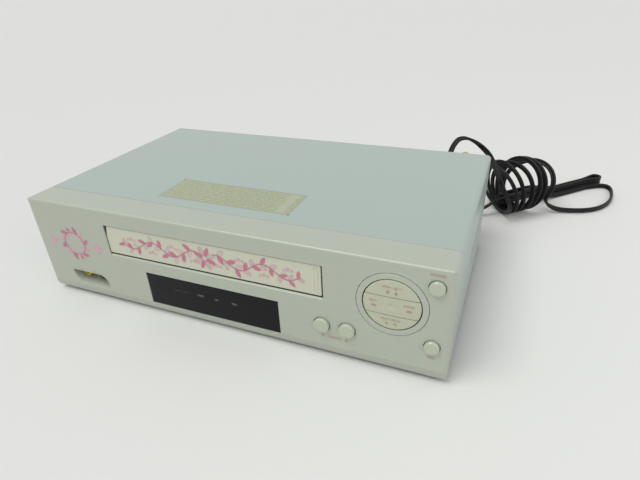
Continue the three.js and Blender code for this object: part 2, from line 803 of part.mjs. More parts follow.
const deckTop = base + deck.height + deck.thickness;
const deckUnder = base + deck.height;
const deckRear = depth - deck.rearGap;
const deckLeft = slot.centre - deck.leftReach;
const deckRight = slot.centre + deck.halfWidth;
const boardUnder = base + mainBoard.height;
const boardTop = boardUnder + boardThickness;
const lipEnd = bezel.returnDepth + bezel.lipLength;
const trayEdge = right - sheet - gap;
const panelFront = depth - tray.rearClear - sheet;

const deckPosts = [
  [deckLeft + tray.postInset, deck.front + tray.postInset],
  [deckRight - tray.postInset, deck.front + tray.postInset],
  [deckLeft + tray.postInset, deckRear - tray.postInset],
  [deckRight - tray.postInset, deckRear - tray.postInset],
];
const boardLeft = left + mainBoard.sideGap;
const boardRight = right - mainBoard.sideGap;
const boardRear = panelFront - mainBoard.rearGap;
const boardPosts = [
  [boardLeft + tray.postInset, mainBoard.front + tray.postInset],
  [boardLeft + tray.postInset, boardRear - tray.postInset],
  [boardRight - tray.postInset, mainBoard.front + tray.postInset],
  [boardRight - tray.postInset, boardRear - tray.postInset],
  [mainBoard.splitAt - tray.postInset, boardRear / 2],
];
const footPlaces = {
  front_left: [left + foot.inset, foot.frontInset + coverFront - bezel.lipLength],
  front_right: [right - foot.inset, foot.frontInset + coverFront - bezel.lipLength],
  rear_left: [left + foot.inset, depth - foot.inset],
  rear_right: [right - foot.inset, depth - foot.inset],
};

function makeChassis() {
  const low = base;
  let form = block([-trayEdge, coverFront, low], [trayEdge, panelFront - gap, low + sheet]);
  for (const side of [-1, 1]) {
    const inner = side * (trayEdge - sheet);
    const outer = side * trayEdge;
    form = join(
      form,
      block(
        [Math.min(inner, outer), lipEnd + gap, low],
        [Math.max(inner, outer), panelFront - gap, low + tray.wallHeight],
      ),
    );
  }
  for (const at of deckPosts) {
    form = join(form, rod('z', deck.postRadius, low + sheet / 2, deckUnder - gap, at, smallSides));
  }
  for (const at of boardPosts) {
    form = join(form, rod('z', tray.boardPost, low + sheet / 2, boardUnder - gap, at, pinSides));
  }
  for (const at of Object.values(footPlaces)) {
    form = cut(form, rod('z', foot.plug + gap, low - overrun, low + sheet + overrun, at, smallSides));
  }
  for (let i = 0; i < vent.count; i += 1) {
    const x = slot.centre + (i - (vent.count - 1) / 2) * 2 * vent.pitch;
    const y = depth / 2 - vent.length;
    form = cut(
      form,
      block(
        [x - vent.width / 2, y, low - overrun],
        [x + vent.width / 2, y + vent.length, low + sheet + overrun],
      ),
    );
  }
  return form;
}
add('bottom_chassis', makeChassis(), 'steel');

for (const [name, at] of Object.entries(footPlaces)) {
  const form = turned([
    [0, 0], [foot.radius, 0], [foot.topRadius, footHeight / 3], [foot.topRadius, footHeight - gap],
    [foot.plug, footHeight - gap],
    [foot.plug, footHeight + foot.plugRise], [0, footHeight + foot.plugRise],
  ], at, smallSides);
  add(`foot_${name}`, form, 'rubber');
}

// Rear panel: a steel sheet with flanges turned forward, holes for the sockets, the cord's slot and vents

const aerialHeights = { out: top - sheet - aerial.nut, in: base + aerial.lower };
const rearJackPlaces = [];
for (const across of [-1, 1]) {
  for (const up of [-1, 1]) {
    rearJackPlaces.push(
      [rearJack.x + across * rearJack.spread / 2, base + rearJack.z + up * rearJack.spread / 2]
    );
  }
}

const cordZ = base + cord.exitZ;

function makeRearPanel() {
  const edge = trayEdge - sheet - gap;
  const low = base + sheet + gap;
  const high = top - sheet - gap;
  const wall = block([-edge, panelFront, low], [edge, panelFront + sheet, high]);
  const front = panelFront - rear.flange;
  const round = bezel.sideRound - sheet;
  const shelf = block([-edge + round, front, high - sheet], [edge - round, panelFront + sheet, high]);
  let form = join(wall, shelf);
  for (const side of [-1, 1]) {
    const inner = side * (edge - sheet);
    const outer = side * edge;
    form = join(
      form,
      block(
        [Math.min(inner, outer), front, low], [Math.max(inner, outer), panelFront + sheet, high - round],
      ),
    );
    form = cut(
      form,
      block(
        [Math.min(side * (edge - round), outer), front - overrun, high - round],
        [Math.max(side * (edge - round), outer) + gap, depth, high + overrun],
      ),
    );
  }
  for (const z of Object.values(aerialHeights)) {
    form = cut(form, rod('y', aerial.radius + gap, panelFront - overrun, depth, [tuner.x, z], smallSides));
  }
  for (const at of rearJackPlaces) {
    form = cut(form, rod('y', rearJack.radius + gap, panelFront - overrun, depth, at, smallSides));
  }
  const notch = block(
    [cord.exitX - bushing.holeWide / 2, front - overrun, cordZ - bushing.neck / 2],
    [cord.exitX + bushing.holeWide / 2, depth, high + overrun],
  );
  form = cut(form, notch);
  for (let i = 0; i < vent.count; i += 1) {
    const x = rear.ventFrom + i * vent.pitch;
    const z = base + rear.ventZ;
    form = cut(form, block([x, panelFront - overrun, z], [x + vent.width, depth, z + rear.ventHeight]));
  }
  return form;
}
add('rear_panel', makeRearPanel(), 'steel');

// Circuit boards

function components(boardZ, list) {
  return list.map(([kind, x, y, a, b, height]) => (
    kind === 'can' ? rod('z', a, boardZ - gap, boardZ + height, [x, y], pinSides) : block(
      [x - a / 2, y - b / 2, boardZ - gap], [x + a / 2, y + b / 2, boardZ + height],
    )
  ));
}

function makeMainBoard() {
  let form = block([boardLeft, mainBoard.front, boardUnder], [mainBoard.splitAt, boardRear, boardTop]);
  for (const at of deckPosts) {
    form = cut(
      form,
      rod(
        'z', deck.postRadius + deck.postPlay + gap, boardUnder - overrun, boardTop + overrun, at,
        smallSides,
      ),
    );
  }
  const middle = (boardLeft + mainBoard.splitAt) / 2;
  const column = boardLeft + chip.large;
  const list = [
    ['chip', middle, mainBoard.front + chip.large, chip.large, chip.large, chip.thickness],
    ['chip', middle - 2 * chip.large, depth / 2, chip.large, chip.small, chip.thickness],
    ['chip', middle + chip.large, depth * 3 / 4, chip.small, chip.large, chip.thickness],
    ['can', column, depth / 2, chip.canRadius, 0, chip.canHeight],
    ['can', column - chip.small, depth / 3, chip.canRadius, 0, chip.canHeight],
    ['can', middle + 2 * chip.large, depth / 3, chip.canRadius, 0, chip.canHeight],
    ['chip', column, depth / 4, chip.small, 2 * chip.large, chip.canHeight],
  ];
  return join(form, ...components(boardTop, list));
}
add('main_board', makeMainBoard(), 'board');

const powerLeft = mainBoard.splitAt + 2 * gap;
const powerMiddle = (powerLeft + boardRight) / 2;

// Heat sink: an upright plate with fins, soldered to the power board
function heatSink() {
  const z = boardTop - gap;
  const thick = power.sinkThickness;
  const x = powerMiddle - power.transformer[0] / 2;
  const y = power.sinkY;
  const plate = block(
    [x, y - power.sinkLength / 2, z], [x + thick, y + power.sinkLength / 2, z + power.sinkHeight],
  );
  const step = (power.sinkLength - thick) / (power.sinkFins - 1);
  const fins = [...Array(power.sinkFins).keys()].map((i) => {
    const from = y - power.sinkLength / 2 + i * step;
    return block([x + thick - gap, from, z], [x + 4 * thick, from + thick, z + power.sinkHeight]);
  });
  return join(plate, ...fins);
}

function makePowerBoard() {
  let form = block([powerLeft, mainBoard.front, boardUnder], [boardRight, boardRear, boardTop]);
  const list = [
    ['can', powerMiddle - chip.large, power.front, chip.canRadius, 0, 2 * chip.canHeight],
    ['can', powerMiddle + chip.large, power.front, chip.canRadius, 0, 2 * chip.canHeight],
    ['chip', powerMiddle, power.front - chip.small, chip.small, chip.large, 2 * chip.canHeight],
  ];
  for (const at of deckPosts) {
    form = cut(
      form,
      rod(
        'z', deck.postRadius + deck.postPlay + gap, boardUnder - overrun, boardTop + overrun, at,
        smallSides,
      ),
    );
  }
  const x = mainBoard.splitAt + power.capRadius + 2 * overrun;
  const capacitor = turned([
    [0, boardTop - gap], [power.capRadius, boardTop - gap],
    [power.capRadius, boardTop + power.capHeight - boardThickness],
    [power.capRadius - boardThickness / 2, boardTop + power.capHeight], [0, boardTop + power.capHeight],
  ], [x, power.capY], roundSides);
  return join(form, capacitor, heatSink(), ...components(boardTop, list));
}
add('power_board', makePowerBoard(), 'board');

// Switching transformer: a ferrite core round a taped winding
function makeTransformer() {
  const [w, d, h] = power.transformer;
  const z = boardTop + gap;
  const y = power.transformerY;
  const core = block([powerMiddle - w / 2, y - d / 4, z], [powerMiddle + w / 2, y + d / 4, z + h]);
  const winding = pushed(
    'z', roundedBox(powerMiddle - w / 3, y - d / 2, powerMiddle + w / 3, y + d / 2, d / 5), z + h / 8,
    z + h * 7 / 8,
  );
  return join(core, winding);
}
add('power_transformer', makeTransformer(), 'black');

// Tuner can and its two aerial sockets
const tunerRear = panelFront - gap;
const tunerLow = boardTop + gap;
const tunerHeight = top - 2 * sheet - gap - tunerLow; // up to the rear panel's flange

function makeTuner() {
  const low = [tuner.x - tuner.width / 2, tunerRear - tuner.depth, tunerLow];
  const high = [tuner.x + tuner.width / 2, tunerRear, tunerLow + tunerHeight];
  const can = block(low, high);
  const rims = [tunerLow + tunerHeight / 3, tunerLow + tunerHeight * 2 / 3].map((rim) => block(
    [low[0] - tuner.wall / 2, low[1] - tuner.wall / 2, rim],
    [high[0] + tuner.wall / 2, high[1] - gap, rim + tuner.wall],
  ));
  return join(can, ...rims);
}
add('tuner', makeTuner(), 'bright');

for (const [name, z] of Object.entries(aerialHeights)) {
  const reach = depth + aerial.reach;
  const barrel = rod('y', aerial.radius, tunerRear + gap, reach, [tuner.x, z], smallSides);
  const nut = rod(
    'y', aerial.nut, panelFront + sheet + gap, panelFront + sheet + gap + aerial.nutThickness, [tuner.x, z],
    nutSides,
  );
  const bore = rod('y', aerial.bore, depth, reach + overrun, [tuner.x, z], pinSides);
  const bevel = rod(
    'y', aerial.bore, reach - aerial.bore, reach + gap, [tuner.x, z], pinSides, aerial.radius - 2 * gap,
  );
  add(`aerial_${name}_socket`, cut(join(barrel, nut), bore, bevel), 'brass');
}

// Rear jack block: four phono sockets in one housing
function makeRearJacks() {
  const margin = rearJack.margin;
  const z = base + rearJack.z;
  const back = panelFront - gap;
  let form = block(
    [rearJack.x - rearJack.spread / 2 - margin, back - rearJack.body, boardTop + gap],
    [rearJack.x + rearJack.spread / 2 + margin, back, z + rearJack.spread / 2 + margin],
  );
  for (const at of rearJackPlaces) {
    form = join(form, rod('y', rearJack.radius, back - gap, depth + rearJack.reach, at, smallSides));
    form = cut(form, rod('y', rearJack.bore, depth - gap, depth + rearJack.reach + overrun, at, pinSides));
  }
  return form;
}
add('rear_jack_block', makeRearJacks(), 'black');

// Front board: an upright board behind the bezel with a push switch under each button's stem
function makeFrontBoard() {
  const low = base + frontBoard.bottom;
  const edge = right - frontBoard.sideGap - bezel.wall;
  const shape = outline([
    [frontBoard.left, low], [edge, low], [edge, base + frontBoard.top],
    [frontBoard.highLeft, base + frontBoard.top],
    [frontBoard.highLeft, base + frontBoard.lowTop], [frontBoard.left, base + frontBoard.lowTop],
  ]);
  let form = pushed('y', shape, boardFront, frontBoard.back);
  const stems = Object.values(buttonPlaces).map(({ x, z }) => [x, base + z]);
  stems.push([pad.x, topStemZ], [pad.x, bottomStemZ], ...rockerStems);
  const tip = boardFront - 2 * button.stemRadius + button.travel + gap / 3;
  for (const [x, z] of stems) {
    const size = 2 * button.stemRadius - gap;
    form = join(
      form,
      block(
        [x - size / 2 - gap, tip + boardThickness, z - size / 2],
        [x + size / 2 + gap, boardFront + gap, z + size / 2],
      ),
    );
    form = join(form, rod('y', button.stemRadius - 2 * gap, tip, boardFront, [x, z], pinSides));
  }
  return form;
}
add('front_board', makeFrontBoard(), 'board');

// Deck plate: a steel plate with bearing bosses, tape guide slots and turned edges

const deckFrame = { x: slot.centre, lid: cassette.lidLine };
const drumCentre = [deckFrame.x, depth - head.fromRear];
const capstanCentre = [deckFrame.x + capstan.x, deckFrame.lid + capstan.fromLid];
const reelCentres = {
  supply: [deckFrame.x - cassette.hubSpread / 2, deckFrame.lid - cassette.hubFromLid],
  takeup: [deckFrame.x + cassette.hubSpread / 2, deckFrame.lid - cassette.hubFromLid],
};
const clutchCentre = [deckFrame.x, reelCentres.supply[1] + idler.pivotBack];
const pinchPivot = [capstanCentre[0] + pinch.pivotX, capstanCentre[1] + pinch.pivotY];
const tensionPivot = [deckFrame.x + tension.pivotX, deckFrame.lid + tension.pivotFromLid];
const camCentre = [deckFrame.x + drive.camX, drive.camY];
const camPitch = drive.camTeeth * drive.module / 2;
const pinionPitch = drive.pinionTeeth * drive.module / 2;
const pinionCentre = [camCentre[0], camCentre[1] + camPitch + pinionPitch];

// Each tape guide runs from the cassette's mouth to its stop beside the drum
const guideRuns = [-1, 1].map((side) => {
  const from = new THREE.Vector2(deckFrame.x + side * guide.mouthX, deckFrame.lid - guide.mouthBack);
  const to = new THREE.Vector2(deckFrame.x + side * guide.endX, drumCentre[1] - guide.endFromDrum);
  return { side, from, to, way: to.clone().sub(from).normalize(), length: to.distanceTo(from) };
});

function stadium(from, way, length, halfWidth) {
  const angle = Math.atan2(way.y, way.x);
  const to = from.clone().addScaledVector(way, length);
  const shape = new THREE.Shape();
  shape.absarc(to.x, to.y, halfWidth, angle - Math.PI / 2, angle + Math.PI / 2);
  shape.absarc(from.x, from.y, halfWidth, angle + Math.PI / 2, angle + Math.PI * 1.5);
  return shape;
}

// The holder up at the door, and how far it goes back and down to set a cassette on the reels
const cassetteSeat = deckTop + reel.rise + holder.tableClear;
const tapeLow = cassetteSeat + tape.aboveSeat;
const tapeHigh = tapeLow + tape.width;
const holderFloor = slotBottom + holder.seatRise;
const holderFront = door.axisBack + doorAxisZ - slotBottom - door.bottomGap + holder.doorGap;
const holderRear = holderFront + holder.length;
const holderTravel = cassette.lidLine - holderRear + holder.plate;
const holderDrop = holderFloor - cassetteSeat;
const slideInner = cassette.width / 2 + holder.sideClear + holder.plate + gap;
const housingInner = slideInner + rack.thickness + gap;
const pinPlaces = [holderFront + holder.pinInset, holderRear - holder.pinInset];
const pinZ = holderFloor + holder.pinHeight;
const rackFront = pinPlaces[0] - rack.margin;
const rackBack = pinPlaces[1] + rack.margin;
const rackGearRadius = rack.gearTeeth * drive.module / 2;
const rackGearCentre = [
  (rackBack + rackFront + holderTravel) / 2, deckTop + rack.overDeck - rackGearRadius,
];

// A block on one side of the deck's middle line, between two distances from it
function beside(side, near, far, [y0, z0], [y1, z1]) {
  const x = [slot.centre + side * near, slot.centre + side * far].sort((a, b) => a - b);
  return block([x[0], y0, z0], [x[1], y1, z1]);
}

function makeDeckPlate() {
  let form = block([deckLeft, deck.front, deckUnder], [deckRight, deckRear, deckTop]);
  const lipRear = block(
    [deckLeft, deckRear - deck.thickness, deckUnder - deck.postRadius],
    [deckRight, deckRear, deckUnder + gap],
  );
  const lipFront = block(
    [deckLeft, deck.front, deckUnder - deck.postRadius],
    [deckRight, deck.front + deck.thickness, deckUnder + gap],
  );
  form = join(form, lipRear, lipFront);
  for (const centre of Object.values(reelCentres)) {
    form = join(form, rod('z', reel.shaftRadius, deckTop - gap, deckTop + reel.rise, centre, pinSides));
  }
  for (const { from, way, length } of guideRuns) {
    form = cut(
      form,
      pushed('z', stadium(from, way, length, guide.slotWidth / 2), deckUnder - overrun, deckTop + overrun),
    );
  }
  form = cut(
    form,
    rod(
      'z', capstan.bearingRadius - capstan.radius + gap, deckUnder - overrun, deckTop + overrun,
      capstanCentre, smallSides,
    ),
  );
  form = cut(
    form, rod('z', clutch.shaft + gap, deckUnder - overrun, deckTop + overrun, clutchCentre, smallSides),
  );
  form = join(
    form,
    rod(
      'z', drive.camShaft, deckTop - gap, deckTop + drive.rise + drive.thickness + gap, camCentre, pinSides,
    ),
  );
  form = join(form, rod('z', pinch.pivotRadius / 2, deckTop - gap, tapeHigh, pinchPivot, pinSides));
  const clear = rackGearRadius + drive.module + overrun / 2;
  const notchFrom = [rackGearCentre[0] - clear, deckUnder - overrun];
  form = cut(
    form,
    beside(
      1, slideInner - 2 * gap, housingInner, notchFrom, [rackGearCentre[0] + clear, deckTop + overrun],
    ),
  );
  form = join(
    form,
    rod(
      'z', tension.postRadius - gap, deckTop - gap, deckTop + tension.rise + 2 * tension.armThickness,
      tensionPivot, pinSides,
    ),
  );
  return form;
}
add('deck_plate', makeDeckPlate(), 'steel');

// Reel tables: a rimmed disc, a hub and a splined spindle that turn on the deck plate's pins

function makeReelTable(centre) {
  const low = deckTop + gap;
  const seat = deckTop + reel.rise;
  const peak = seat + reel.spindleRise;
  let form = turned([
    [0, low], [reel.hubRadius, low], [reel.hubRadius, seat - reel.tableThickness],
    [reel.tableRadius, seat - reel.tableThickness],
    [reel.tableRadius, seat - gap], [reel.tableRadius - gap, seat], [reel.spindleRadius, seat],
    [reel.spindleRadius, peak - reel.spindleRadius],
    [reel.spindleRadius / 2, peak], [0, peak],
  ], centre, roundSides);
  for (let i = 0; i < 3; i += 1) {
    const angle = i * Math.PI * 2 / 3;
    const fin = new THREE.BoxGeometry(reel.finDepth * 2, reel.finDepth, reel.spindleRise * 2 / 3);
    fin.translate(reel.spindleRadius, 0, seat + reel.spindleRise / 3 - gap);
    fin.rotateZ(angle).translate(centre[0], centre[1], 0);
    form = join(form, solidOf(fin));
  }
  return cut(
    form, rod('z', reel.shaftRadius + reel.play, low - overrun, seat + reel.play, centre, pinSides),
  );
}
for (const [name, centre] of Object.entries(reelCentres)) {
  add(`${name}_reel_table`, makeReelTable(centre), 'white');
}

// Idler: a wheel on a swinging arm that touches one reel table or the other
const idlerCentre = [clutchCentre[0], clutchCentre[1] - idler.pivotBack];
const idlerArmLow = deckTop + gap;
const idlerWheelLow = deckTop + reel.rise - reel.tableThickness - idler.thickness / 8;

function makeIdlerArm() {
  const shape = stadium(
    new THREE.Vector2(...idlerCentre), new THREE.Vector2(0, 1), idler.pivotBack, idler.armWidth / 2,
  );
  const arm = pushed('z', shape, idlerArmLow, idlerArmLow + idler.armThickness);
  const pin = rod(
    'z', idler.shaft, idlerArmLow, idlerWheelLow + idler.thickness + gap, idlerCentre, pinSides,
  );
  return cut(
    join(arm, pin),
    rod('z', clutch.shaft + gap, idlerArmLow - overrun, idlerArmLow + overrun, clutchCentre, smallSides),
  );
}
add('idler_arm', makeIdlerArm(), 'steel');

add('idler_wheel', cut(
  turned([
    [0, idlerWheelLow], [idler.radius - gap, idlerWheelLow], [idler.radius, idlerWheelLow + gap],
    [idler.radius, idlerWheelLow + idler.thickness - gap],
    [idler.radius - gap, idlerWheelLow + idler.thickness], [0, idlerWheelLow + idler.thickness],
  ], idlerCentre, roundSides),
  rod(
    'z', idler.shaft + reel.play, idlerWheelLow - overrun, idlerWheelLow + idler.thickness + overrun,
    idlerCentre, pinSides,
  ),
), 'rubber');

// Video head drum: base, fixed lower drum, turning upper drum with its shaft and rotor, all leaning
// together

const drum = new THREE.Group();
drum.position.set(drumCentre[0], drumCentre[1], deckTop);
drum.rotation.y = -head.lean * radians;
drum.updateMatrix();
recorder.add(drum);
const lowerTop = head.seat + head.lowerHeight;
const upperLow = lowerTop + head.slit;
const upperTop = upperLow + head.upperHeight;

// The fixed lower drum stands on a level foot through a wedge of its own casting
function makeLowerDrum() {
  const level = new THREE.Matrix4().copy(drum.matrix).invert();
  const plate = block(
    [drumCentre[0] - head.baseRadius, drumCentre[1] - head.radius * 2 / 3, deckTop + gap],
    [drumCentre[0] + head.baseRadius, drumCentre[1] + head.radius * 2 / 3, deckTop + head.baseThickness],
  );
  const foot = solidOf(geometryOf(plate).applyMatrix4(level));
  const wedge = rod(
    'z', head.radius * 2 / 3, head.baseThickness * 2 / 3, head.seat + gap, [0, 0], roundSides,
  );
  const body = turned([
    [0, head.seat], [head.radius - head.rampHeight, head.seat],
    [head.radius - head.rampHeight, head.seat + head.rampHeight],
    [head.radius, head.seat + 2 * head.rampHeight], [head.radius, lowerTop], [0, lowerTop],
  ], [0, 0], ringSides);
  return cut(
    join(body, wedge, foot),
    rod(
      'z', head.shaftRadius + head.shaftPlay, head.baseThickness * 2, lowerTop + overrun, [0, 0],
      smallSides,
    ),
  );
}
add('lower_drum', makeLowerDrum(), 'bright', drum);

function makeUpperDrum() {
  let form = turned([
    [0, upperLow], [head.radius, upperLow], [head.radius, upperTop - gap], [head.radius - gap, upperTop],
    [head.rotorRadius, upperTop], [head.rotorRadius, upperTop - head.slit], [0, upperTop - head.slit],
  ], [0, 0], ringSides);
  for (const side of [-1, 1]) {
    const window = block(
      [side * head.radius - head.rampHeight, -head.rampHeight, upperLow - gap],
      [side * head.radius + head.rampHeight, head.rampHeight, upperLow + head.rampHeight],
    );
    const slotHole = rod(
      'z', head.rampHeight, upperTop - head.rampHeight, upperTop + overrun,
      [side * (head.rotorRadius + head.shaftRadius + head.rampHeight), 0], pinSides,
    );
    form = cut(form, window, slotHole);
  }
  return cut(
    form, rod('z', head.shaftRadius + gap, upperLow - overrun, upperTop + overrun, [0, 0], smallSides),
  );
}
add('upper_drum', makeUpperDrum(), 'bright', drum);

const rotorLow = upperTop - head.slit + gap;

// The motor's rotor sits on top of the drum, on the shaft that runs down through both drums
function makeRotor() {
  const rotorTop = rotorLow + head.rotorHeight;
  const cup = turned([
    [0, rotorLow], [head.rotorRadius - gap, rotorLow], [head.rotorRadius - gap, rotorTop - gap],
    [head.rotorRadius - 4 * gap, rotorTop], [head.shaftRadius * 3, rotorTop],
    [head.shaftRadius * 2, rotorTop - head.rotorHeight / 3], [0, rotorTop - head.rotorHeight / 3],
  ], [0, 0], roundSides);
  return join(
    cup, rod('z', head.shaftRadius, head.baseThickness * 2 + gap, rotorTop + gap, [0, 0], smallSides),
  );
}
add('drum_rotor', makeRotor(), 'cast', drum);

// Capstan: a thin shaft through a bearing post, with the flywheel and its stator under the deck

const flywheelTop = deckUnder - capstan.below;
const flywheelLow = flywheelTop - capstan.flywheelThickness;
const beltMiddle = flywheelLow + capstan.flywheelThickness / 2;
const bearingTop = deckTop + capstan.bearingRise;

const capstanBearing = cut(
  turned([
    [0, deckUnder - deck.bossHeight], [capstan.bearingRadius - capstan.radius, deckUnder - deck.bossHeight],
    [capstan.bearingRadius - capstan.radius, deckTop + gap],
    [capstan.bearingRadius + capstan.radius, deckTop + gap],
    [capstan.bearingRadius + capstan.radius, deckTop + gap + deck.bossHeight],
    [capstan.bearingRadius - capstan.radius, deckTop + gap + deck.bossHeight],
    [capstan.bearingRadius - capstan.radius, bearingTop], [0, bearingTop],
  ], capstanCentre, smallSides),
  rod('z', capstan.radius + gap / 2, flywheelLow, bearingTop + overrun, capstanCentre, smallSides),
);

// A wheel with a groove for the belt round its rim
function grooved(radius, low, high, centre) {
  const middle = (low + high) / 2;
  const half = belt.height / 2 + gap;
  const floor = radius - belt.grooveDepth;
  return turned([
    [0, low], [radius, low], [radius, middle - half], [floor, middle - half], [floor, middle + half],
    [radius, middle + half], [radius, high], [0, high],
  ], centre, roundSides);
}

const capstanTop = tapeHigh + capstan.overTape;
const capstanShaft = turned([
  [0, flywheelTop - gap], [capstan.radius, flywheelTop - gap],
  [capstan.radius, capstanTop - capstan.radius / 2],
  [capstan.radius / 2, capstanTop], [0, capstanTop],
], capstanCentre, smallSides);
add(
  'capstan_flywheel',
  join(grooved(capstan.flywheelRadius, flywheelLow, flywheelTop, capstanCentre), capstanShaft), 'cast',
);

// The coil board under the deck belongs to the bearing's casting: together they are the motor's fixed part
const statorLow = deckUnder - gap - capstan.statorThickness;
const stator = cut(
  rod('z', capstan.statorRadius, statorLow, deckUnder - gap, capstanCentre, roundSides),
  rod('z', capstan.radius + gap, statorLow - overrun, deckUnder + overrun, capstanCentre, smallSides),
);
add('capstan_motor', join(capstanBearing, stator), 'brass');

// Clutch pulley: driven by the belt under the deck, with a small gear above it
function makeClutch() {
  const pulley = grooved(clutch.radius, flywheelLow, flywheelTop, clutchCentre);
  const collarLow = idlerArmLow + idler.armThickness + gap;
  const shaft = rod('z', clutch.shaft, flywheelTop - gap, collarLow + gap, clutchCentre, smallSides);
  const collar = rod(
    'z', clutch.shaft * 2, collarLow, collarLow + clutch.collarHeight, clutchCentre, smallSides,
  );
  return join(pulley, shaft, collar);
}
add('clutch_pulley', makeClutch(), 'white');

// Belt: a closed band round the flywheel's and the clutch pulley's grooves
function beltOutline(inset) {
  const a = new THREE.Vector2(...capstanCentre);
  const b = new THREE.Vector2(...clutchCentre);
  const ra = capstan.flywheelRadius - belt.grooveDepth + gap + inset;
  const rb = clutch.radius - belt.grooveDepth + gap + inset;
  const along = Math.atan2(b.y - a.y, b.x - a.x);
  const lean = Math.acos((ra - rb) / a.distanceTo(b));
  const shape = new THREE.Shape();
  shape.absarc(a.x, a.y, ra, along + lean, along - lean + 2 * Math.PI);
  shape.absarc(b.x, b.y, rb, along - lean, along + lean);
  return shape;
}
const beltLow = beltMiddle - belt.height / 2;
const beltHigh = beltMiddle + belt.height / 2;
add('drive_belt', cut(
  pushed('z', beltOutline(belt.thickness), beltLow, beltHigh, 2 * arcSteps),
  pushed('z', beltOutline(0), beltLow - overrun, beltHigh + overrun, 2 * arcSteps),
), 'rubber');

// Pinch roller: it hangs from an arm that swings it against the capstan's shaft

const toCapstan = new THREE.Vector2(...capstanCentre).sub(new THREE.Vector2(...pinchPivot));
const pinchContact = capstan.radius + pinch.radius + gap;
const pinchCosine = (pinch.arm ** 2 + toCapstan.lengthSq() - pinchContact ** 2) / (
  2 * pinch.arm * toCapstan.length()
);
const pinchAngle = toCapstan.angle() + Math.acos(pinchCosine) + pinch.swing * radians;
const pinchWay = new THREE.Vector2(Math.cos(pinchAngle), Math.sin(pinchAngle));
const pinchCentre = [pinchPivot[0] + pinch.arm * pinchWay.x, pinchPivot[1] + pinch.arm * pinchWay.y];

function makePinchArm() {
  const shape = stadium(new THREE.Vector2(...pinchPivot), pinchWay, pinch.arm, pinch.armWidth / 2);
  const plate = pushed('z', shape, tapeHigh, tapeHigh + pinch.armThickness);
  const sleeve = rod('z', pinch.pivotRadius, deckTop + gap, tapeHigh + gap, pinchPivot, smallSides);
  const pin = rod('z', pinch.pinRadius, tapeLow - gap, tapeHigh + gap, pinchCentre, pinSides);
  const bore = rod(
    'z', pinch.pivotRadius / 2 + gap, deckTop - overrun, tapeHigh + overrun, pinchPivot, smallSides,
  );
  return cut(join(plate, sleeve, pin), bore);
}
add('pinch_arm', makePinchArm(), 'steel');
add('pinch_roller', cut(
  rod('z', pinch.radius, tapeLow - gap, tapeHigh - gap, pinchCentre, roundSides),
  rod('z', pinch.pinRadius + gap, tapeLow - overrun, tapeHigh + overrun, pinchCentre, pinSides),
), 'rubber');

// Tape guides: each block slides along its slot with an upright roller and a leaning post

function makeGuide({ side, from, way }) {
  const low = deckTop + gap;
  const high = low + guide.baseThickness;
  const flange = guide.radius + guide.flangeOut;
  const tail = from.clone().addScaledVector(way, -guide.baseLength);
  const place = [from.x, from.y];
  const block = pushed('z', stadium(tail, way, guide.baseLength, guide.baseWidth / 2), low, high);
  const key = rod(
    'z', guide.slotWidth / 2 - gap, deckUnder - gap - guide.headThickness, low + gap, place, pinSides,
  );
  const keyHead = rod(
    'z', guide.headRadius, deckUnder - gap - guide.headThickness, deckUnder - gap, place, smallSides,
  );
  const post = turned([
    [0, high - gap], [guide.stemRadius, high - gap], [guide.stemRadius, tapeLow - guide.flangeThickness],
    [flange, tapeLow - guide.flangeThickness], [flange, tapeLow], [guide.radius, tapeLow],
    [guide.radius, tapeHigh],
    [flange, tapeHigh], [flange, tapeHigh + guide.flangeThickness], [0, tapeHigh + guide.flangeThickness],
  ], place, smallSides);
  const height = tapeHigh - high;
  const leaning = new THREE.CylinderGeometry(guide.leanRadius, guide.leanRadius, height, pinSides);
  leaning.rotateX(Math.PI / 2).translate(0, 0, height / 2).rotateY(-side * guide.leanAngle * radians);
  leaning.translate(tail.x, tail.y, high - gap);
  return join(block, key, keyHead, post, solidOf(leaning));
}
for (const run of guideRuns) {
  add(run.side < 0 ? 'supply_guide' : 'takeup_guide', makeGuide(run), 'cast');
}

// Heads: a block with a rounded face on a footed post
function makeHead(size) {
  const x = deckFrame.x + size.x;
  const y = deckFrame.lid + size.fromLid;
  const low = tapeLow - size.over;
  const high = tapeHigh + size.over;
  const body = block(
    [x - size.width / 2, y - size.depth / 2, low], [x + size.width / 2, y + size.depth / 2, high],
  );
  const face = rod('z', size.width / 2, low + gap, high - gap, [x, y + size.depth / 4], roundSides);
  const stem = rod('z', size.footRadius, deckTop + gap, low + gap, [x, y], smallSides);
  const plate = block(
    [x - size.width / 2 - size.footRadius, y - size.depth / 2 - size.footRadius, deckTop + gap],
    [
      x + size.width / 2 + size.footRadius, y + size.depth / 2 + size.footRadius,
      deckTop + gap + deck.thickness,
    ],
  );
  return join(body, face, stem, plate);
}
add('erase_head', makeHead(eraseHead), 'cast');
add('sound_head', makeHead(soundHead), 'cast');

// Back-tension arm: its post feels the tape as it leaves the supply reel
function makeTensionArm() {
  const from = new THREE.Vector2(...tensionPivot);
  const to = new THREE.Vector2(deckFrame.x + tension.postX, deckFrame.lid + tension.postFromLid);
  const way = to.clone().sub(from).normalize();
  const low = deckTop + tension.rise;
  const high = low + tension.armThickness;
  const arm = pushed('z', stadium(from, way, to.distanceTo(from), tension.armWidth / 2), low, high);
  const post = rod(
    'z', tension.postRadius, high - gap, high + tension.postHeight, [to.x, to.y], smallSides,
  );
  return cut(
    join(arm, post), rod('z', tension.postRadius, low - overrun, high + overrun, tensionPivot, smallSides),
  );
}
add('tension_arm', makeTensionArm(), 'steel');

// Loading drive: a motor's pinion turns the cam wheel that moves the guides, the roller and the arms

const camLow = deckTop + drive.rise;
const camHigh = camLow + drive.thickness;

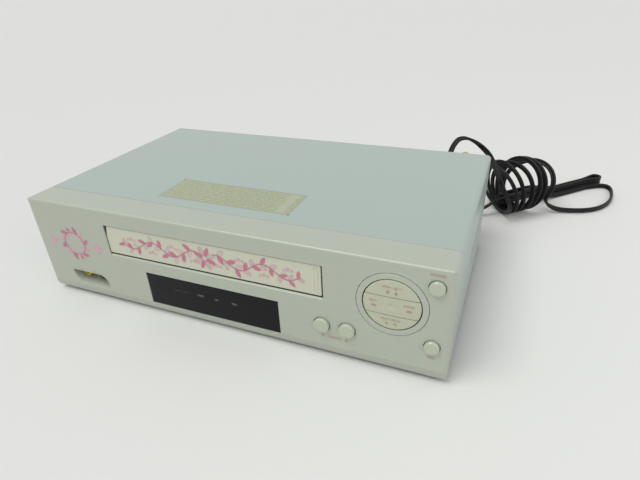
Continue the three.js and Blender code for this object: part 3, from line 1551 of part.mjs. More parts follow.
function makeCamGear() {
  const wheel = pushed(
    'z', gearShape(drive.camTeeth, ...camCentre, Math.PI / 2 + Math.PI / drive.camTeeth), camLow, camHigh,
  );
  const hub = rod('z', camTrack.hubRadius, deckTop + gap, camHigh + drive.rise, camCentre, smallSides);
  const place = [camCentre[0] + camTrack.offset, camCentre[1]];
  const track = cut(
    rod(
      'z', camTrack.radius + camTrack.width / 2, camHigh - camTrack.depth, camHigh + gap, place, roundSides,
    ),
    rod('z', camTrack.radius - camTrack.width / 2, camHigh - overrun, camHigh + overrun, place, roundSides),
  );
  const bore = rod(
    'z', drive.camShaft + gap, deckTop - overrun, camHigh + 2 * overrun, camCentre, smallSides,
  );
  return cut(join(cut(wheel, track), hub), bore);
}
add('cam_gear', makeCamGear(), 'white');

const motorPlate = camHigh + motor.clearance;
add('motor_pinion', join(
  pushed('z', gearShape(drive.pinionTeeth, ...pinionCentre, -Math.PI / 2), camLow, camHigh),
  rod('z', motor.shaft, camHigh - gap, motorPlate + motor.plateThickness + overrun, pinionCentre, pinSides),
), 'white');

function makeMotor() {
  const [x, y] = pinionCentre;
  const canLow = motorPlate + motor.plateThickness - gap;
  const canHigh = motorPlate + motor.plateThickness + motor.length;
  const reach = motor.radius + motor.plateThickness;
  let form = block(
    [x - reach, y - motor.legWidth / 2, motorPlate],
    [x + reach, y + motor.legWidth / 2, motorPlate + motor.plateThickness],
  );
  form = join(form, turned([
    [0, canLow], [motor.radius, canLow], [motor.radius, canHigh - gap], [motor.radius - gap, canHigh],
    [motor.capRadius, canHigh], [motor.capRadius, canHigh + motor.capHeight],
    [0, canHigh + motor.capHeight],
  ], pinionCentre, roundSides));
  for (const side of [-1, 1]) {
    const edges = [x + side * reach, x + side * (reach + motor.plateThickness)].sort((a, b) => a - b);
    const inner = [
      x + side * (reach - gap), x + side * (reach + motor.plateThickness),
    ].sort((a, b) => a - b);
    form = join(
      form,
      block(
        [edges[0], y - motor.legWidth / 2, deckTop + gap],
        [edges[1], y + motor.legWidth / 2, motorPlate + motor.plateThickness],
      ),
      block(
        [inner[0], y - motor.legWidth / 2, motorPlate],
        [inner[1], y + motor.legWidth / 2, motorPlate + motor.plateThickness],
      ),
    );
  }
  const boreEnd = motorPlate + motor.plateThickness + 2 * overrun;
  return cut(form, rod('z', motor.shaft + gap, motorPlate - overrun, boreEnd, pinionCentre, pinSides));
}
add('loading_motor', makeMotor(), 'steel');

// Cassette holder: a folded tray with two ledges, upturned stops at its back and two pins on each side
function makeHolder() {
  const inner = cassette.width / 2 + holder.sideClear;
  const outer = inner + holder.plate;
  const low = holderFloor - holder.plate;
  const roof = holderFloor + cassette.height + holder.topClear;
  const margin = holder.windowMargin;
  const plate = block(
    [slot.centre - outer, holderFront, roof], [slot.centre + outer, holderRear, roof + holder.plate],
  );
  const window = block(
    [slot.centre - inner + margin, holderFront + margin, roof - overrun],
    [slot.centre + inner - margin, holderRear - margin, roof + overrun],
  );
  let form = cut(plate, window);
  for (const side of [-1, 1]) {
    form = join(
      form,
      beside(side, inner, outer, [holderFront, low], [holderRear, roof + holder.plate]),
      beside(side, outer - holder.ledge, outer, [holderFront, low], [holderRear, holderFloor]),
      beside(
        side, outer - holder.ledge, outer, [holderRear - holder.plate, low],
        [holderRear, holderFloor + holder.tabRise],
      ),
    );
    for (const y of pinPlaces) {
      const ends = [
        slot.centre + side * inner, slot.centre + side * (housingInner + housing.thickness + gap),
      ].sort((a, b) => a - b);
      form = join(form, rod('x', holder.pinRadius, ends[0], ends[1], [y, pinZ], pinSides));
    }
  }
  return form;
}
add('cassette_holder', makeHolder(), 'steel');

// Slides: upright slots carry the holder's pins down; the right one has teeth along its lower edge

const windowLow = pinZ - holderDrop - holder.pinRadius - housing.windowMargin;
const windowHigh = pinZ + holder.pinRadius + housing.windowMargin;
const rackLine = deckTop + rack.overDeck;
const rackRoot = rackLine + drive.module * toothShares.root;

function makeSlide(side) {
  const outer = slideInner + rack.thickness;
  const play = holder.pinRadius + holder.pinPlay;
  let form = beside(side, slideInner, outer, [rackFront, rackRoot], [rackBack, windowHigh]);
  for (const y of pinPlaces) {
    form = cut(
      form,
      beside(
        side, slideInner - overrun, outer + overrun, [y - play, pinZ - holderDrop - play],
        [y + play, pinZ + play],
      ),
    );
  }
  const middle = (rackFront + rackBack) / 2;
  const reach = housingInner + housing.thickness;
  for (const z of [windowLow + gap, windowHigh - gap - rack.runnerHeight]) {
    form = join(
      form,
      beside(
        side, outer - gap, reach, [middle - rack.runner / 2, z],
        [middle + rack.runner / 2, z + rack.runnerHeight],
      ),
    );
  }
  return side < 0 ? form : join(form, makeRackTeeth());
}

function makeRackTeeth() {
  const pitch = Math.PI * drive.module;
  const foot = pitch * toothShares.footHalf - drive.backlash / 2;
  const head = pitch * toothShares.headHalf - drive.backlash / 4;
  const tip = rackLine - drive.module * toothShares.tip;
  const count = Math.floor((rackBack - rackFront) / pitch);
  const points = [[rackBack, rackRoot + gap], [rackFront, rackRoot + gap], [rackFront, rackRoot]];
  for (let i = count - 1; i >= 0; i -= 1) {
    const y = rackGearCentre[0] - i * pitch;
    points.push([y - foot, rackRoot], [y - head, tip], [y + head, tip], [y + foot, rackRoot]);
  }
  points.push([rackBack, rackRoot]);
  return pushed('x', outline(points), slot.centre + slideInner, slot.centre + slideInner + rack.thickness);
}
add('slide_left', makeSlide(-1), 'steel');
add('slide_right', makeSlide(1), 'steel');

// Rack gear: the wheel under the right slide, on a shaft through the housing
function makeRackGear() {
  const phase = Math.PI / 2 + Math.PI / rack.gearTeeth;
  const inner = slot.centre + slideInner;
  const outer = slot.centre + housingInner + housing.thickness + gap;
  return join(
    pushed('x', gearShape(rack.gearTeeth, ...rackGearCentre, phase), inner, inner + rack.thickness),
    rod('x', rack.shaft, inner + gap, outer + gap, rackGearCentre, smallSides),
    rod('x', rack.discRadius, outer, outer + rack.discThickness, rackGearCentre, smallSides),
  );
}
add('rack_gear', makeRackGear(), 'white');

// Housing: two side walls with long windows, feet on the deck plate, a bridge over the front and a bar at
// the back
function makeHousing() {
  const low = deckTop + gap;
  const high = base + housing.top;
  const outer = housingInner + housing.thickness;
  const front = rackFront - housing.end;
  const back = rackBack + holderTravel + housing.end;
  const windowFront = pinPlaces[0] - holder.pinRadius - housing.windowMargin;
  const windowBack = pinPlaces[1] + holderTravel + holder.pinRadius + housing.windowMargin;
  const bridgeFront = front + housing.bridgeFront;
  let form = block(
    [slot.centre - outer, bridgeFront, high - housing.thickness],
    [slot.centre + outer, bridgeFront + housing.bridgeDepth, high],
  );
  form = join(
    form,
    block(
      [slot.centre - outer, back - housing.barDepth, high - housing.thickness],
      [slot.centre + outer, back, high],
    ),
  );
  for (const side of [-1, 1]) {
    form = join(form, beside(side, housingInner, outer, [front, low], [back, high]));
    form = cut(
      form,
      beside(
        side, housingInner - overrun, outer + overrun, [windowFront, windowLow], [windowBack, windowHigh],
      ),
    );
    for (const from of [front, back - housing.footLength]) {
      form = join(
        form,
        beside(
          side, housingInner, outer + housing.footReach, [from, low],
          [from + housing.footLength, low + housing.thickness],
        ),
      );
    }
  }
  const bearing = [slot.centre + housingInner - overrun, slot.centre + outer + overrun];
  return cut(form, rod('x', rack.shaft + gap, bearing[0], bearing[1], rackGearCentre, smallSides));
}
add('cassette_housing', makeHousing(), 'steel');

// Mains cord: it leaves the rear panel, and its slack is wound and folded behind the recorder

function bushingRing(y, wide, high) {
  return roundedBox(
    -wide / 2, -high / 2, wide / 2, high / 2, bushing.round,
  ).getPoints(1).map((p) => new THREE.Vector3(cord.exitX + p.x, y, cordZ + p.y));
}

function makeBushing() {
  const inside = panelFront - gap;
  const outside = panelFront + sheet + gap;
  const collar = roundedBox(
    cord.exitX - bushing.collar / 2, cordZ - bushing.collarHigh / 2,
    cord.exitX + bushing.collar / 2, cordZ + bushing.collarHigh / 2, bushing.collarRound,
  );
  const neckWide = bushing.holeWide / 2 - gap;
  const neckHigh = bushing.neck / 2 - gap;
  const tailFrom = outside + bushing.collarThickness - sheet;
  const form = join(
    pushed('y', collar, inside - bushing.collarThickness, inside, 1),
    block(
      [cord.exitX - neckWide, inside - sheet, cordZ - neckHigh],
      [cord.exitX + neckWide, outside + sheet, cordZ + neckHigh],
    ),
    pushed('y', collar, outside, outside + bushing.collarThickness, 1),
    solidOf(skinned([
      bushingRing(tailFrom, bushing.neck, bushing.neck),
      bushingRing(outside + bushing.collarThickness + bushing.tail, bushing.tip, bushing.tipThick),
    ])),
  );
  const bore = roundedBox(
    cord.exitX - cord.wide / 2 - gap, cordZ - cord.thick / 2 - gap,
    cord.exitX + cord.wide / 2 + gap, cordZ + cord.thick / 2 + gap, cord.thick / 4,
  );
  return cut(
    form,
    pushed(
      'y', bore, inside - bushing.collarThickness - overrun,
      outside + bushing.collarThickness + bushing.tail + overrun, 1,
    ),
  );
}
add('cord_bushing', makeBushing(), 'rubber');

const cordStart = [cord.exitX, panelFront - gap - bushing.collarThickness - cord.inside, cordZ];

// The winding stands on its edge: a place on its floor line, its axis and the direction across it
const winding = {
  at: [202.5, 297], heading: 46 * radians, radius: 28, turns: 6, pitch: 4.5, steps: 24, rise: 3.8,
  enter: 1.4, leave: 1.2, fan: 0.15, yaw: 0.06, wobble: 0.035, wobblePace: 1.37,
};
const along = new THREE.Vector3(Math.cos(winding.heading), Math.sin(winding.heading), 0);
const upward = new THREE.Vector3(0, 0, 1);
const across = new THREE.Vector3().crossVectors(upward, along);

function windingAt(angle) {
  const turn = angle / (2 * Math.PI) - winding.turns / 2 - 0.5;
  const lean = winding.fan * turn;
  const radius = winding.radius * (1 + winding.wobble * Math.sin(winding.wobblePace * angle));
  const axis = along.clone().applyAxisAngle(upward, winding.yaw * turn);
  const side = across.clone().applyAxisAngle(upward, winding.yaw * turn);
  const up = upward.clone().multiplyScalar(Math.cos(lean)).addScaledVector(axis, Math.sin(lean));
  const wide = up.clone().multiplyScalar(-Math.cos(angle)).addScaledVector(side, Math.sin(angle));
  const point = new THREE.Vector3(...winding.at, winding.rise).addScaledVector(along, winding.pitch * turn);
  point.addScaledVector(up, radius).addScaledVector(wide, radius);
  return { point, wide };
}

// The winding begins and ends its straight ends square to what they meet
const windingFrom = Math.PI + winding.enter;
const windingTo = 2 * Math.PI * (winding.turns + 1) - winding.leave;
const windingStep = 2 * Math.PI / winding.steps;
const woundStart = windingAt(windingFrom).point;
const woundHeading = windingAt(windingFrom + windingStep / 2).point.sub(
  windingAt(windingFrom - windingStep / 2).point
).normalize();
const beforeWinding = (distance) => woundStart.clone().addScaledVector(woundHeading, -distance);

// The lead's way from the panel over to the winding
const leadPlaces = [
  cordStart, [cord.exitX, panelFront, cordZ], [cord.exitX, tailEnd, cordZ],
  [cord.exitX, tailEnd + cord.wide, cordZ],
  [139.6, 256.5, 87], [143.5, 262, 91.4], [149.5, 266.5, 91.8], [157.5, 270, 88.4], [167, 271, 82],
  [177, 268, 73],
].map((place) => new THREE.Vector3(...place));
const leadEnds = [cord.leadEndShare * cord.wide, cord.wide, 0];
leadPlaces.push(...leadEnds.map((distance) => beforeWinding(cord.wide + gap + distance)));

// The hank: folds drawn out of the winding, in two layers; a place in it is its distance from the tip, its
// side and its height
const hank = {
  tip: [304, 412], pitch: 4, low: 3.2, lifted: 12.2, liftFrom: 74, liftTo: 122, layer: 6.5, length: 160,
  step: 16,
  tipBulge: 5, tipFrom: 5, tipTo: 28, outerBulge: 4.2, turnSteps: 6, climbShares: [1.6, 0.25],
};
const sideways = new THREE.Vector3(Math.sin(winding.heading), -Math.cos(winding.heading), 0);

function eased(value, from, to) {
  return THREE.MathUtils.smoothstep(value, from, to);
}

function inHank(back, side, layer) {
  const height = hank.low + (hank.lifted - hank.low) * eased(
    back, hank.liftFrom, hank.liftTo,
  ) + layer * hank.layer;
  const point = new THREE.Vector3(...hank.tip, height).addScaledVector(along, -back);
  return { point: point.addScaledVector(sideways, side), wide: upward };
}

// One strand of the hank between two distances from the tip; its side and layer follow from the distance
function strand(from, to, sideAt, layerAt) {
  const count = Math.ceil(Math.abs(to - from) / hank.step);
  return Array.from({ length: count + 1 }, (_, i) => {
    const back = from + (to - from) * i / count;
    return inHank(back, sideAt(back), layerAt(back));
  });
}

// A half turn of the hank about a place in it, from one side to the other; a sign says which way it bulges
function halfTurn(back, side, radius, layer, way, first) {
  return Array.from({ length: hank.turnSteps - 1 }, (_, i) => {
    const angle = Math.PI * (i + 1) / hank.turnSteps;
    return inHank(back + way * radius * Math.sin(angle), side + first * radius * Math.cos(angle), layer);
  });
}

function makeHank() {
  const half = hank.pitch / 2;
  const bulged = (sign) => (back) => sign * (
    half + (hank.tipBulge - half) * (1 - eased(back, hank.tipFrom, hank.tipTo))
  );
  const inner = hank.length;
  const lowLayer = () => 0;
  const highLayer = () => 1;
  const outerCentre = half;
  const outerFirst = 3 * half;
  const spread = hank.outerBulge - hank.pitch;
  const outer = (side) => (back) => (
    side + spread * Math.sign(side - outerCentre) * eased(back, inner - hank.step, inner)
  );
  const [climbFrom, climbTo] = hank.climbShares.map((share) => inner - share * hank.step);
  const climb = (back) => eased(back, climbFrom, climbTo);
  return [
    ...strand(hank.tipTo, inner, outer(outerFirst), lowLayer),
    ...halfTurn(inner, outerCentre, hank.outerBulge, 0, 1, 1),
    ...strand(inner, hank.tipTo, outer(-half), lowLayer),
    ...strand(hank.tipTo, hank.tipFrom, bulged(-1), lowLayer).slice(1),
    ...halfTurn(hank.tipFrom, 0, hank.tipBulge, 0, -1, -1),
    ...strand(hank.tipFrom, hank.tipTo, bulged(1), lowLayer),
    ...strand(hank.tipTo, inner, () => half, climb).slice(1),
    ...halfTurn(inner, 0, half, 1, 1, 1),
    ...strand(inner, hank.tipTo, () => -half, highLayer),
    ...strand(hank.tipTo, hank.tipFrom, bulged(-1), highLayer).slice(1),
    ...halfTurn(hank.tipFrom, 0, hank.tipBulge, 1, -1, -1),
    ...strand(hank.tipFrom, hank.tipTo, bulged(1), highLayer),
    ...strand(hank.tipTo, inner - 3 * hank.step, () => half, highLayer).slice(1),
  ];
}

// Points along a smooth way through some places
function wayThrough(places, step) {
  const curve = new THREE.CatmullRomCurve3(places, false, 'centripetal');
  return curve.getSpacedPoints(Math.round(curve.getLength() / step));
}

const hankPlace = (back, side, height) => new THREE.Vector3(...hank.tip, height).addScaledVector(
  along, -back,
).addScaledVector(sideways, side);
const loopPlaces = [
  [247, 306.5, 5.2], [269, 311, 3.6], [291, 320, 3.2], [306, 337, 3.2], [314, 357, 3.2], [317, 376, 3.2],
].map((place) => new THREE.Vector3(...place));
const loopEnd = [
  [3.5, 22], [-1.5, 14.6], [4, 10.2], [12, 9], [20, 7.4],
].map(([back, side]) => hankPlace(back, side, hank.low));
const tailTurn = [
  [126, 4.2, 18.6], [140, 7.4, 18.8], [158, 7.8, 18.8], [174, 7, 17.6],
].map((place) => hankPlace(...place));
const plugAt = { x: 152, y: 267 };
const plugZ = gap + plug.height / 2;
const tailPlaces = [
  [181, 276.5, 12.5], [171.5, 270.5, 8.8], [plugAt.x + 2 * cord.wide, plugAt.y, plugZ],
  [plugAt.x + cord.wide + gap, plugAt.y, plugZ],
].map((place) => new THREE.Vector3(...place));

const levelSide = new THREE.Vector3(0, 1, 0);
const turning = { start: 4, upright: 12, level: 6 }; // stations over which the wide side turns

// Stations of the whole wound cord: each has its point and, where it is set, the direction of its wide side
function woundStations(startWide) {
  const count = Math.round((windingTo - windingFrom) / windingStep);
  const stations = [{ point: beforeWinding(cord.wide), wide: startWide }];
  for (let i = 0; i <= count; i += 1) {
    const station = windingAt(windingFrom + (windingTo - windingFrom) * i / count);
    stations.push(i < turning.start ? { point: station.point, wide: null } : station);
  }
  const folds = makeHank();
  const end = stations[stations.length - 1].point;
  const loop = wayThrough([end, ...loopPlaces, ...loopEnd, folds[0].point], cord.step);
  loop.slice(1, -1).forEach(
    (point, i) => stations.push({ point, wide: i > turning.start ? upward : null })
  );
  stations.push(...folds);
  const lastFold = folds[folds.length - 1].point;
  const tail = wayThrough([lastFold, ...tailTurn, ...tailPlaces], cord.step);
  tail.slice(1).forEach((point, i) => {
    const left = tail.length - i;
    const upright = left > turning.upright ? upward : null;
    stations.push({ point, wide: left < turning.level ? levelSide : upright });
  });
  stations.push({ point: new THREE.Vector3(plugAt.x + gap, plugAt.y, plugZ), wide: levelSide });
  return stations;
}

// The flat cord's sections: the corner places along its wide side and across it, plainer where it is wound
const woundShares = [[-0.5, 0], [-0.25, -0.5], [0.25, -0.5], [0.5, 0], [0.25, 0.5], [-0.25, 0.5]];
const leadShares = [
  [-0.5, -0.2], [-0.35, -0.5], [0.35, -0.5], [0.5, -0.2], [0.5, 0.2], [0.35, 0.5], [-0.35, 0.5],
  [-0.5, 0.2],
];
const woundSection = woundShares.map(([a, b]) => [a * cord.wide, b * cord.thick]);

// Each station gets its tangent and a wide side square to it; those not set are turned evenly between their
// neighbours
function aligned(stations) {
  const points = stations.map((station) => station.point);
  const wides = stations.map((station) => station.wide && station.wide.clone());
  for (let i = 1; i < wides.length; i += 1) {
    if (!wides[i]) {
      let next = i;
      while (!wides[next]) next += 1;
      const share = 1 / (next - i + 1);
      const target = wides[next].clone().multiplyScalar(wides[next].dot(wides[i - 1]) < 0 ? -1 : 1);
      wides[i] = wides[i - 1].clone().lerp(target, share);
    }
    if (wides[i].dot(wides[i - 1]) < 0) wides[i].negate();
    wides[i].normalize();
  }
  return points.map((point, i) => {
    const before = points[Math.max(i - 1, 0)];
    const after = points[Math.min(i + 1, points.length - 1)];
    const into = point.clone().sub(before).normalize();
    const out = after.clone().sub(point).normalize();
    const tangent = into.add(out).normalize();
    const wide = wides[i].addScaledVector(tangent, -wides[i].dot(tangent)).normalize();
    return { point, tangent, wide, thin: new THREE.Vector3().crossVectors(tangent, wide) };
  });
}

function woundTube(frames) {
  const rings = frames.map(({ point, wide, thin }) => (
    woundSection.map(([a, b]) => point.clone().addScaledVector(wide, a).addScaledVector(thin, -b))
  ));
  return skinned(rings);
}

// The least gap between stretches of the wound cord that are apart along its length, measured on points
function leastGap(frames, apart = cord.apartShare * cord.thick) {
  const points = [];
  let run = 0;
  frames.forEach((frame, i) => {
    const next = frames[i + 1];
    if (!next) return;
    const span = frame.point.distanceTo(next.point);
    const count = Math.ceil(span / cord.thick);
    for (let k = 0; k < count; k += 1) {
      const share = k / count;
      points.push({
        at: frame.point.clone().lerp(next.point, share), run: run + span * share,
        wide: frame.wide.clone().lerp(next.wide, share).normalize(),
        thin: frame.thin.clone().lerp(next.thin, share).normalize(),
      });
    }
    run += span;
  });
  const reach = (place, way) => Math.max(
    ...woundSection.map(([a, b]) => a * place.wide.dot(way) + b * place.thin.dot(way))
  );
  let least = Infinity;
  let where = null;
  for (let i = 0; i < points.length; i += 1) {
    for (let k = i + 1; k < points.length; k += 1) {
      const way = points[k].at.clone().sub(points[i].at);
      const distance = way.length();
      if (points[k].run - points[i].run < apart || distance > 2 * cord.wide) continue;
      way.divideScalar(distance);
      const free = distance - reach(points[i], way) - reach(points[k], way.negate());
      if (free < least) {
        least = free;
        where = [points[i], points[k]];
      }
    }
  }
  return { least, length: run, where };
}

// The lead is pushed along its way with its wide side level at the panel
function makeLead() {
  const curve = new THREE.CatmullRomCurve3(leadPlaces, false, 'centripetal');
  const steps = Math.round(curve.getLength() / (cord.leadStepShare * cord.wide));
  const shape = outline(leadShares.map(([a, b]) => [b * cord.thick, a * cord.wide]));
  const frames = curve.computeFrenetFrames(steps, false);
  return {
    geometry: new THREE.ExtrudeGeometry(shape, { extrudePath: curve, steps }),
    endWide: frames.binormals[steps], length: curve.getLength(),
  };
}
const lead = makeLead();
add('power_cord', solidOf(lead.geometry), 'black');
const wound = aligned(woundStations(lead.endWide));
const woundGap = leastGap(wound);
console.log(`wound cord: least gap to itself ${woundGap.least.toFixed(2)} mm`);
console.log(`wound cord: length ${woundGap.length.toFixed(0)} mm, lead ${lead.length.toFixed(0)} mm`);
add('cord_coil', woundTube(wound), 'black');

// Plug: a moulded body with a tapered neck and two flat blades, lying on the floor
function makePlug() {
  const ring = (x, wide, high) => (
    roundedBox(
      -wide / 2, -high / 2, wide / 2, high / 2, plug.round,
    ).getPoints(1).map((p) => new THREE.Vector3(x, plugAt.y + p.x, plugZ + p.y))
  );
  const shoulder = plugAt.x - plug.neck;
  const face = shoulder - plug.length;
  let form = solidOf(skinned([
    ring(plugAt.x, plug.neckWide, plug.neckHigh),
    ring(shoulder, plug.width * plug.shoulderShare, plug.height * plug.shoulderShare),
    ring(shoulder - plug.shoulder, plug.width, plug.height),
    ring(face, plug.width, plug.height),
  ]));
  for (const side of [-1, 1]) {
    const y = plugAt.y + side * plug.bladeGap / 2;
    form = join(form, block(
      [face - plug.bladeLength, y - plug.bladeThickness / 2, plugZ - plug.bladeWidth / 2],
      [face + overrun, y + plug.bladeThickness / 2, plugZ + plug.bladeWidth / 2],
    ));
  }
  return form;
}
add('power_plug', makePlug(), 'rubber');

export default whole;
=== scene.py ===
import json
from math import pi, radians

import bpy
import numpy as np
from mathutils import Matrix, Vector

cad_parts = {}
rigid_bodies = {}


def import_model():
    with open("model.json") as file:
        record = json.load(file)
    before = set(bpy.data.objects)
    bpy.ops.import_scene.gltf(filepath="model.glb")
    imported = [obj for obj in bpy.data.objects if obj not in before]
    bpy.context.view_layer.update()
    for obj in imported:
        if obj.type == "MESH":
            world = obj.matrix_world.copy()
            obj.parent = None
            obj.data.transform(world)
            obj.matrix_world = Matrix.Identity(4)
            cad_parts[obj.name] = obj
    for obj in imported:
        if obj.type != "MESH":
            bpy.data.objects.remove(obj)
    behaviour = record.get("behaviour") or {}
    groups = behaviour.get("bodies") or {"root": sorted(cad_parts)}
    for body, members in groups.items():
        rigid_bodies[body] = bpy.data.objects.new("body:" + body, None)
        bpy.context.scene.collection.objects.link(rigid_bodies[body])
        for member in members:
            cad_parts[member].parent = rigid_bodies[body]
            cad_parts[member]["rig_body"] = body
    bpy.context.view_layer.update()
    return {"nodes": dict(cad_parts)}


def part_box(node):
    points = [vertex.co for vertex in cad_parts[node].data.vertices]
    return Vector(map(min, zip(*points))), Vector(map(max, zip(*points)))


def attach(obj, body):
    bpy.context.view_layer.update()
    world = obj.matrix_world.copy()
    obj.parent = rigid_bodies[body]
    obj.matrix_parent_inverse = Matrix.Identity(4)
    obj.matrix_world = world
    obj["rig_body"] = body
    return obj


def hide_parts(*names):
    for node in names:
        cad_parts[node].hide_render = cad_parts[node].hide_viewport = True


# A front-loading video cassette recorder in silver paint, with its mains cord bundled behind it
# Lengths are metres, as in the frame, but the cord's are millimetres until its path is done
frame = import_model()
nodes = frame["nodes"]
scene = bpy.context.scene
millimetre = 0.001
originShift = 0.11825  # the recorder's front plane lies this far before the origin
frontPlane = -originShift
underside = 0.004  # the body's lowest edge, over its feet

# Camera: fitted to the photo by the recorder's corners, turned by degrees about X, Y and Z
cameraKit = {"place": (0.1981, -0.36315, 0.2510), "turn": (60.58, 2.23, 22.22), "lens": 26.71, "sensor": 36.0}


def setCamera(kit):
    data = bpy.data.cameras.new("camera")
    data.lens = kit["lens"]
    data.sensor_width = kit["sensor"]
    data.clip_start = 0.01
    camera = bpy.data.objects.new("camera", data)
    camera.location = kit["place"]
    camera.rotation_euler = [radians(angle) for angle in kit["turn"]]
    scene.collection.objects.link(camera)
    scene.camera = camera


setCamera(cameraKit)
print("camera set")


# An object at the origin from an array of points and a list of faces
def meshObject(name, points, faces, smooth=True):
    mesh = bpy.data.meshes.new(name)
    mesh.from_pydata(np.asarray(points, float).reshape(-1, 3).tolist(), [], faces)
    mesh.polygons.foreach_set("use_smooth", [smooth] * len(mesh.polygons))
    mesh.update()
    piece = bpy.data.objects.new(name, mesh)
    scene.collection.objects.link(piece)
    return piece


# Quads between the rows and columns of a grid; row i, column j is point i * columns + j
def gridFaces(rows, columns, closedColumns=False, closedRows=False, first=0):
    down = np.arange(rows if closedRows else rows - 1)
    across = np.arange(columns if closedColumns else columns - 1)
    i, j = np.meshgrid(down, across, indexing="ij")
    row, nextRow = i * columns, (i + 1) % rows * columns
    nextColumn = (j + 1) % columns
    corners = np.stack([row + j, row + nextColumn, nextRow + nextColumn, nextRow + j], -1)
    return (corners.reshape(-1, 4) + first).tolist()


# Angles spread evenly round a circle
def roundAngles(count):
    return np.linspace(0, 2 * pi, count, endpoint=False)


# Each row divided by its length
def unit(rows):
    return rows / np.linalg.norm(rows, axis=-1, keepdims=True)


# A profile of (a, b) pairs carried along a path: point = path + a * wide + b * (tangent x wide),
# with a face over each end
def sweep(path, wides, profile):
    tangents = unit(np.gradient(path, axis=0))
    wides = unit(wides - (wides * tangents).sum(1, keepdims=True) * tangents)
    thins = np.cross(tangents, wides)
    points = path[:, None] + profile[None, :, :1] * wides[:, None] + profile[None, :, 1:] * thins[:, None]
    rows, columns = points.shape[:2]
    faces = gridFaces(rows, columns, closedColumns=True)
    faces.append(list(range(columns))[::-1])
    faces.append([(rows - 1) * columns + k for k in range(columns)])
    return points, faces


# Points every step along a smooth curve through the places: three rounds of mixing neighbours by the
# knots, which are the running sum of the square roots of the chords. Extras are mixed evenly along
def smoothWay(places, step, extras=None):
    places = np.asarray(places, float)
    grown = np.vstack([2 * places[0] - places[1], places, 2 * places[-1] - places[-2]])
    knots = np.concatenate([[0], np.cumsum(np.linalg.norm(np.diff(grown, axis=0), axis=1) ** 0.5)])
    chords = np.linalg.norm(np.diff(places, axis=0), axis=1)
    run = np.concatenate([[0], np.cumsum(chords)])
    at = np.linspace(0, run[-1], max(2, int(round(run[-1] / step)) + 1))
    span = np.clip(np.searchsorted(run, at, "right") - 1, 0, len(places) - 2)
    share = ((at - run[span]) / chords[span])[:, None]
    p = [grown[span + k] for k in range(4)]
    t = [knots[span + k][:, None] for k in range(4)]
    u = t[1] + share * (t[2] - t[1])

    def mixed(a, b, start, end):
        return a * (end - u) / (end - start) + b * (u - start) / (end - start)

    first = [mixed(p[k], p[k + 1], t[k], t[k + 1]) for k in range(3)]
    second = [mixed(first[k], first[k + 1], t[k], t[k + 2]) for k in range(2)]
    way = mixed(second[0], second[1], t[1], t[2])
    if extras is None:
        return way
    extras = np.asarray(extras, float)
    return way, extras[span] * (1 - share) + extras[span + 1] * share


# Mains cord: a flat twin flex, out of the rear panel, over to a winding on its edge, then folds and
# the plug. Its wide side is level for the first points, free for a few where it joins and leaves the
# winding, and upright at the plug
cordKit = {
    "wide": 5.6, "thick": 2.8, "meet": 0.72, "arcSteps": 12, "step": 1.6, "coarse": 8, "rounds": 3,
    "exit": (138, 213.1, 82), "inside": (138, 203.6, 82), "approach": (3.6, 2, 1),
    "levelPoints": 3, "freeIn": 4, "freeOut": 5, "plugPoints": 6, "plugFree": 12,
    "lead": [
        (138, 208.9, 82), (138, 239.1, 82), (138, 244.7, 82), (139.6, 256.5, 87), (143.5, 262, 91.4),
        (149.5, 266.5, 91.8), (157.5, 270, 88.4), (167, 271, 82), (177, 268, 73),
    ],
}
windingKit = {
    "at": (202.5, 297), "heading": 46, "radius": 28, "turns": 6, "pitch": 4.5, "steps": 24, "rise": 3.8,
    "enter": 1.4, "leave": 1.2, "fan": 0.15, "yaw": 0.06, "wobble": 0.035, "wobblePace": 1.37,
}
hankKit = {
    "tip": (304, 412), "pitch": 4, "low": 3.2, "lifted": 12.2, "liftFrom": 74, "liftTo": 122,
    "layer": 6.5, "length": 160, "step": 16, "climbFrom": 1.6, "climbTo": 0.25, "lastShort": 3,
    "tipBulge": 5, "tipFrom": 5, "tipTo": 28, "outerBulge": 4.2, "turnSteps": 6,
    "loop": [
        (247, 306.5, 5.2), (269, 311, 3.6), (291, 320, 3.2), (306, 337, 3.2), (314, 357, 3.2),
        (317, 376, 3.2),
    ],
    "loopEnd": [(3.5, 22), (-1.5, 14.6), (4, 10.2), (12, 9), (20, 7.4)],
    "tailTurn": [(126, 4.2, 18.6), (140, 7.4, 18.8), (158, 7.8, 18.8), (174, 7, 17.6)],
    "tail": [
        (181, 276.5, 12.5), (171.5, 270.5, 8.8), (163.2, 267, 7.3), (157.9, 267, 7.3), (152.3, 267, 7.3),
    ],
}
heading = radians(windingKit["heading"])
alongWinding = np.array([np.cos(heading), np.sin(heading), 0])
acrossWinding = np.array([-np.sin(heading), np.cos(heading), 0])
upward = np.array([0, 0, 1.0])


# Turns of a circle that stands on its edge: point = floor place + pitch * turn * axis
# + radius * (up + wide), fanned and turned a little each time
def windingPath(kit, angles):
    angles = angles[:, None]
    turn = angles / (2 * pi) - kit["turns"] / 2 - 0.5
    lean, yaw = kit["fan"] * turn, kit["yaw"] * turn
    radius = kit["radius"] * (1 + kit["wobble"] * np.sin(kit["wobblePace"] * angles))
    axis = np.cos(yaw) * alongWinding + np.sin(yaw) * acrossWinding
    side = np.cos(yaw) * acrossWinding - np.sin(yaw) * alongWinding
    up = np.cos(lean) * upward + np.sin(lean) * axis
    wide = -np.cos(angles) * up + np.sin(angles) * side
    foot = np.array([*kit["at"], kit["rise"]]) + kit["pitch"] * turn * alongWinding
    return foot + radius * (up + wide), wide


# A smooth step from 0 to 1 between start and end: share ^ 2 * (3 - 2 * share)
def eased(value, start, end):
    share = np.clip((value - start) / (end - start), 0, 1)
    return share * share * (3 - 2 * share)


